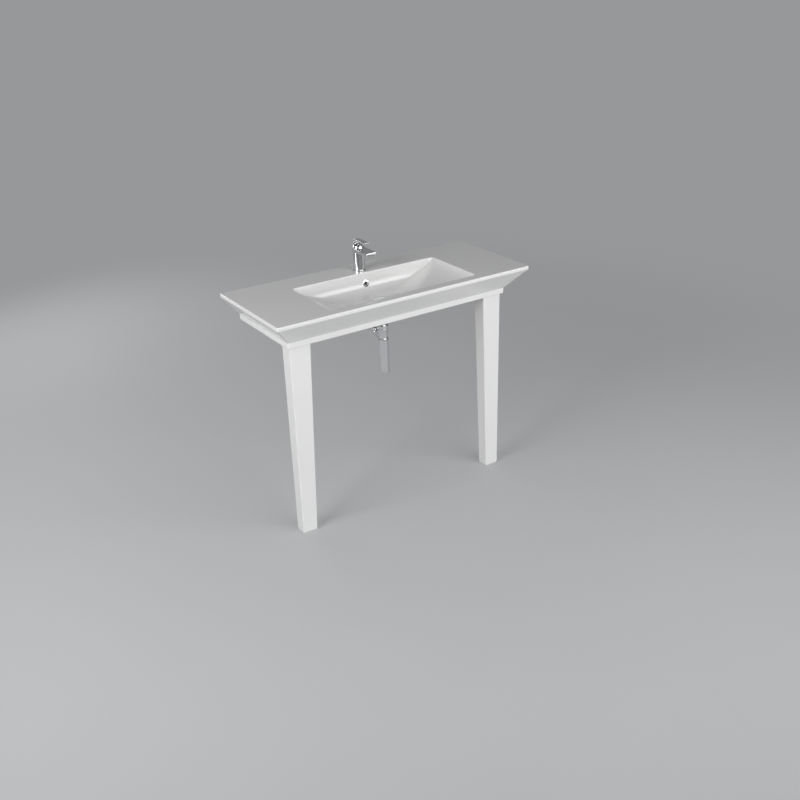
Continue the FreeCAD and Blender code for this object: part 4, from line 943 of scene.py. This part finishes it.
def outward(azimuth: float, elevation: float) -> Vector:
    """Points from the basin to a place around it.

    Args:
        azimuth: degrees from straight in front, positive to the right.
        elevation: degrees above level.

    Returns:
        The direction, of length one.
    """
    turn, rise = math.radians(azimuth), math.radians(elevation)
    return Vector((math.sin(turn) * math.cos(rise), -math.cos(turn) * math.cos(rise), math.sin(rise)))


@dataclass
class Lamp:
    """One soft box: where it stands, what it faces, how large and how strong it is."""

    name: str
    azimuth: float
    elevation: float
    distance: float
    width: float
    height: float
    power: float

    def make(self, target: Vector) -> None:
        """Hangs the soft box.

        Args:
            target: the point that the box faces.
        """
        data = bpy.data.lights.new(self.name, "AREA")
        data.shape = "RECTANGLE"
        data.size = self.width
        data.size_y = self.height
        data.energy = self.power
        back = outward(self.azimuth, self.elevation)
        item = bpy.data.objects.new(self.name, data)
        item.location = target + back * self.distance
        item.rotation_mode = "QUATERNION"
        item.rotation_quaternion = (-back).to_track_quat("-Z", "Y")
        bpy.context.scene.collection.objects.link(item)


@dataclass
class Studio:
    """The pale floor, the soft light and the camera."""

    floor: float
    pale: Colour = (0.38, 0.384, 0.392)
    backdrop: Colour = (0.31, 0.314, 0.321)
    zenith_share: float = 0.38
    zenith_span: Span = (0.10, 0.60)
    sky: float = 0.18
    floor_lift: float = 0.40
    floor_reach: float = 60.0
    floor_rings: int = 24
    floor_columns: int = 96
    first_ring: float = 0.02
    ring_growth: int = 3
    floor_drift_scale: float = 1.2
    floor_drift_share: float = 0.985
    floor_roughness: float = 0.75
    clear_radius: Span = (1.4, 3.8)
    lamps: tuple[Lamp, ...] = (
        Lamp("left_box", -78.0, 21.0, 3.4, 1.8, 1.6, 68.0),
        Lamp("front_box", 16.0, 14.5, 3.6, 3.9, 2.3, 98.0),
        Lamp("back_box", 196.0, 5.0, 3.6, 2.4, 0.9, 32.0),
    )
    target: tuple[float, float, float] = (0.0, -0.22, -0.10)
    camera_place: tuple[float, float, float] = (-1.89007, -3.20942, 1.2566)
    azimuth: float = -34.571
    elevation: float = 25.472
    roll: float = -1.102
    sensor: float = 36.0
    lens: float = 44.964
    shift: Span = (-0.025, 0.00125)
    clip: Span = (0.05, 200.0)

    def make(self) -> None:
        """Sets up the whole stage."""
        self.make_floor()
        self.make_world()
        for lamp in self.lamps:
            lamp.make(Vector(self.target))
        self.make_camera()
        bpy.context.scene.view_settings.view_transform = "Standard"

    def make_floor(self) -> None:
        """Lays a round floor: rings of points whose radii grow as powers, finest in the middle."""
        rings, columns = self.floor_rings, self.floor_columns
        radius = self.floor_reach * (np.linspace(self.first_ring, 1.0, rings) ** self.ring_growth)[:, None]
        centre = Vector((0.0, self.target[1], self.floor))
        points = around(radius, np.zeros_like(radius), circle(columns), centre)
        index = np.arange(rings * columns).reshape(rings, columns)
        ahead = np.roll(index, -1, axis=1)
        corners = (index[:-1], index[1:], ahead[1:], ahead[:-1])
        quads = np.stack(corners, axis=-1).reshape(-1, 4).tolist()
        mesh = bpy.data.meshes.new("floor")
        mesh.from_pydata(points.reshape(-1, 3).tolist(), [], quads + [index[0].tolist()])
        mesh.materials.append(self.floor_material())
        item = bpy.data.objects.new("floor", mesh)
        bpy.context.scene.collection.objects.link(item)

    @staticmethod
    def seen(graph: Graph) -> Socket:
        """Tells rays that show a surface from rays that only carry light.

        Args:
            graph: the tree of a material or a world.

        Returns:
            One on rays from the eye, from gloss or through glass, and zero on the others.
        """
        ray = graph.node("ShaderNodeLightPath").outputs
        direct = graph.sum("MAXIMUM", ray["Is Camera Ray"], ray["Is Glossy Ray"])
        return graph.sum("MAXIMUM", direct, ray["Is Transmission Ray"])

    def floor_material(self) -> bpy.types.Material:
        """Makes a matt pale floor that passes into the backdrop's colour far from the basin.

        Returns:
            The floor's material.
        """
        material = bpy.data.materials.new("pale_floor")
        material.use_nodes = True
        material.node_tree.nodes.clear()
        graph = Graph(material.node_tree)
        place = graph.node("ShaderNodeTexCoord").outputs["Object"]
        distance = graph.node("ShaderNodeVectorMath", {0: place}, operation="LENGTH").outputs["Value"]
        far = graph.remap(distance, self.clear_radius, UNIT)
        drift = graph.use(EFFECTS.drift, {"Vector": place, "Scale": self.floor_drift_scale})
        deeper = tuple(part * self.floor_drift_share for part in self.pale)
        tone = graph.mix(drift, self.pale, deeper)
        matt = graph.node("ShaderNodeBsdfPrincipled", {"Base Color": tone, "Roughness": self.floor_roughness})
        seen = self.seen(graph)
        lift_strength = graph.sum("MULTIPLY", seen, self.floor_lift)
        lift = graph.node("ShaderNodeEmission", {"Color": self.backdrop, "Strength": lift_strength})
        near = graph.node("ShaderNodeAddShader", {0: matt.outputs["BSDF"], 1: lift.outputs[0]})
        glow_strength = graph.remap(seen, UNIT, (self.sky, 1.0))
        glow = graph.node("ShaderNodeEmission", {"Color": self.backdrop, "Strength": glow_strength})
        both = graph.node("ShaderNodeMixShader", {0: far, 1: near.outputs[0], 2: glow.outputs[0]})
        graph.node("ShaderNodeOutputMaterial", {"Surface": both.outputs[0]})
        return material

    def make_world(self) -> None:
        """Sets an even sky that lights the basin; eyes and gloss see the backdrop, darker overhead."""
        world = bpy.data.worlds.new("studio")
        world.use_nodes = True
        world.node_tree.nodes.clear()
        graph = Graph(world.node_tree)
        way = graph.node("ShaderNodeTexCoord").outputs["Generated"]
        rise = graph.node("ShaderNodeSeparateXYZ", {0: way}).outputs["Z"]
        overhead = graph.remap(rise, self.zenith_span, UNIT)
        zenith = tuple(part * self.zenith_share for part in self.backdrop)
        view = graph.mix(overhead, self.backdrop, zenith)
        light = graph.node("ShaderNodeBackground", {"Color": (1.0, 1.0, 1.0), "Strength": self.sky})
        look = graph.node("ShaderNodeBackground", {"Color": view, "Strength": 1.0})
        layers = {0: self.seen(graph), 1: light.outputs[0], 2: look.outputs[0]}
        both = graph.node("ShaderNodeMixShader", layers)
        graph.node("ShaderNodeOutputWorld", {"Surface": both.outputs[0]})
        bpy.context.scene.world = world

    def make_camera(self) -> None:
        """Stands the camera where the photograph was taken."""
        roll = math.radians(self.roll)
        back = outward(self.azimuth, self.elevation)
        right = (-back).cross(Vector((0.0, 0.0, 1.0))).normalized()
        above = right.cross(-back)
        level = right * math.cos(roll) + above * math.sin(roll)
        upright = above * math.cos(roll) - right * math.sin(roll)
        turn = Matrix((level, upright, back)).transposed().to_4x4()
        data = bpy.data.cameras.new("camera")
        data.sensor_width = self.sensor
        data.lens = self.lens
        data.shift_x, data.shift_y = self.shift
        data.clip_start, data.clip_end = self.clip
        item = bpy.data.objects.new("camera", data)
        item.matrix_world = Matrix.Translation(self.camera_place) @ turn
        bpy.context.scene.collection.objects.link(item)
        bpy.context.scene.camera = item


def main() -> None:
    """Dresses every assembly and sets up the stage."""
    logging.basicConfig(level=logging.INFO, format="%(name)s: %(message)s")
    finishes = Finishes()
    for assembly in (Casting, Legs, Tap, Waste, Trap):
        assembly(finishes).dress()
    Studio(floor=CAD_BOX[0].z).make()


if __name__ == "__main__":
    main()
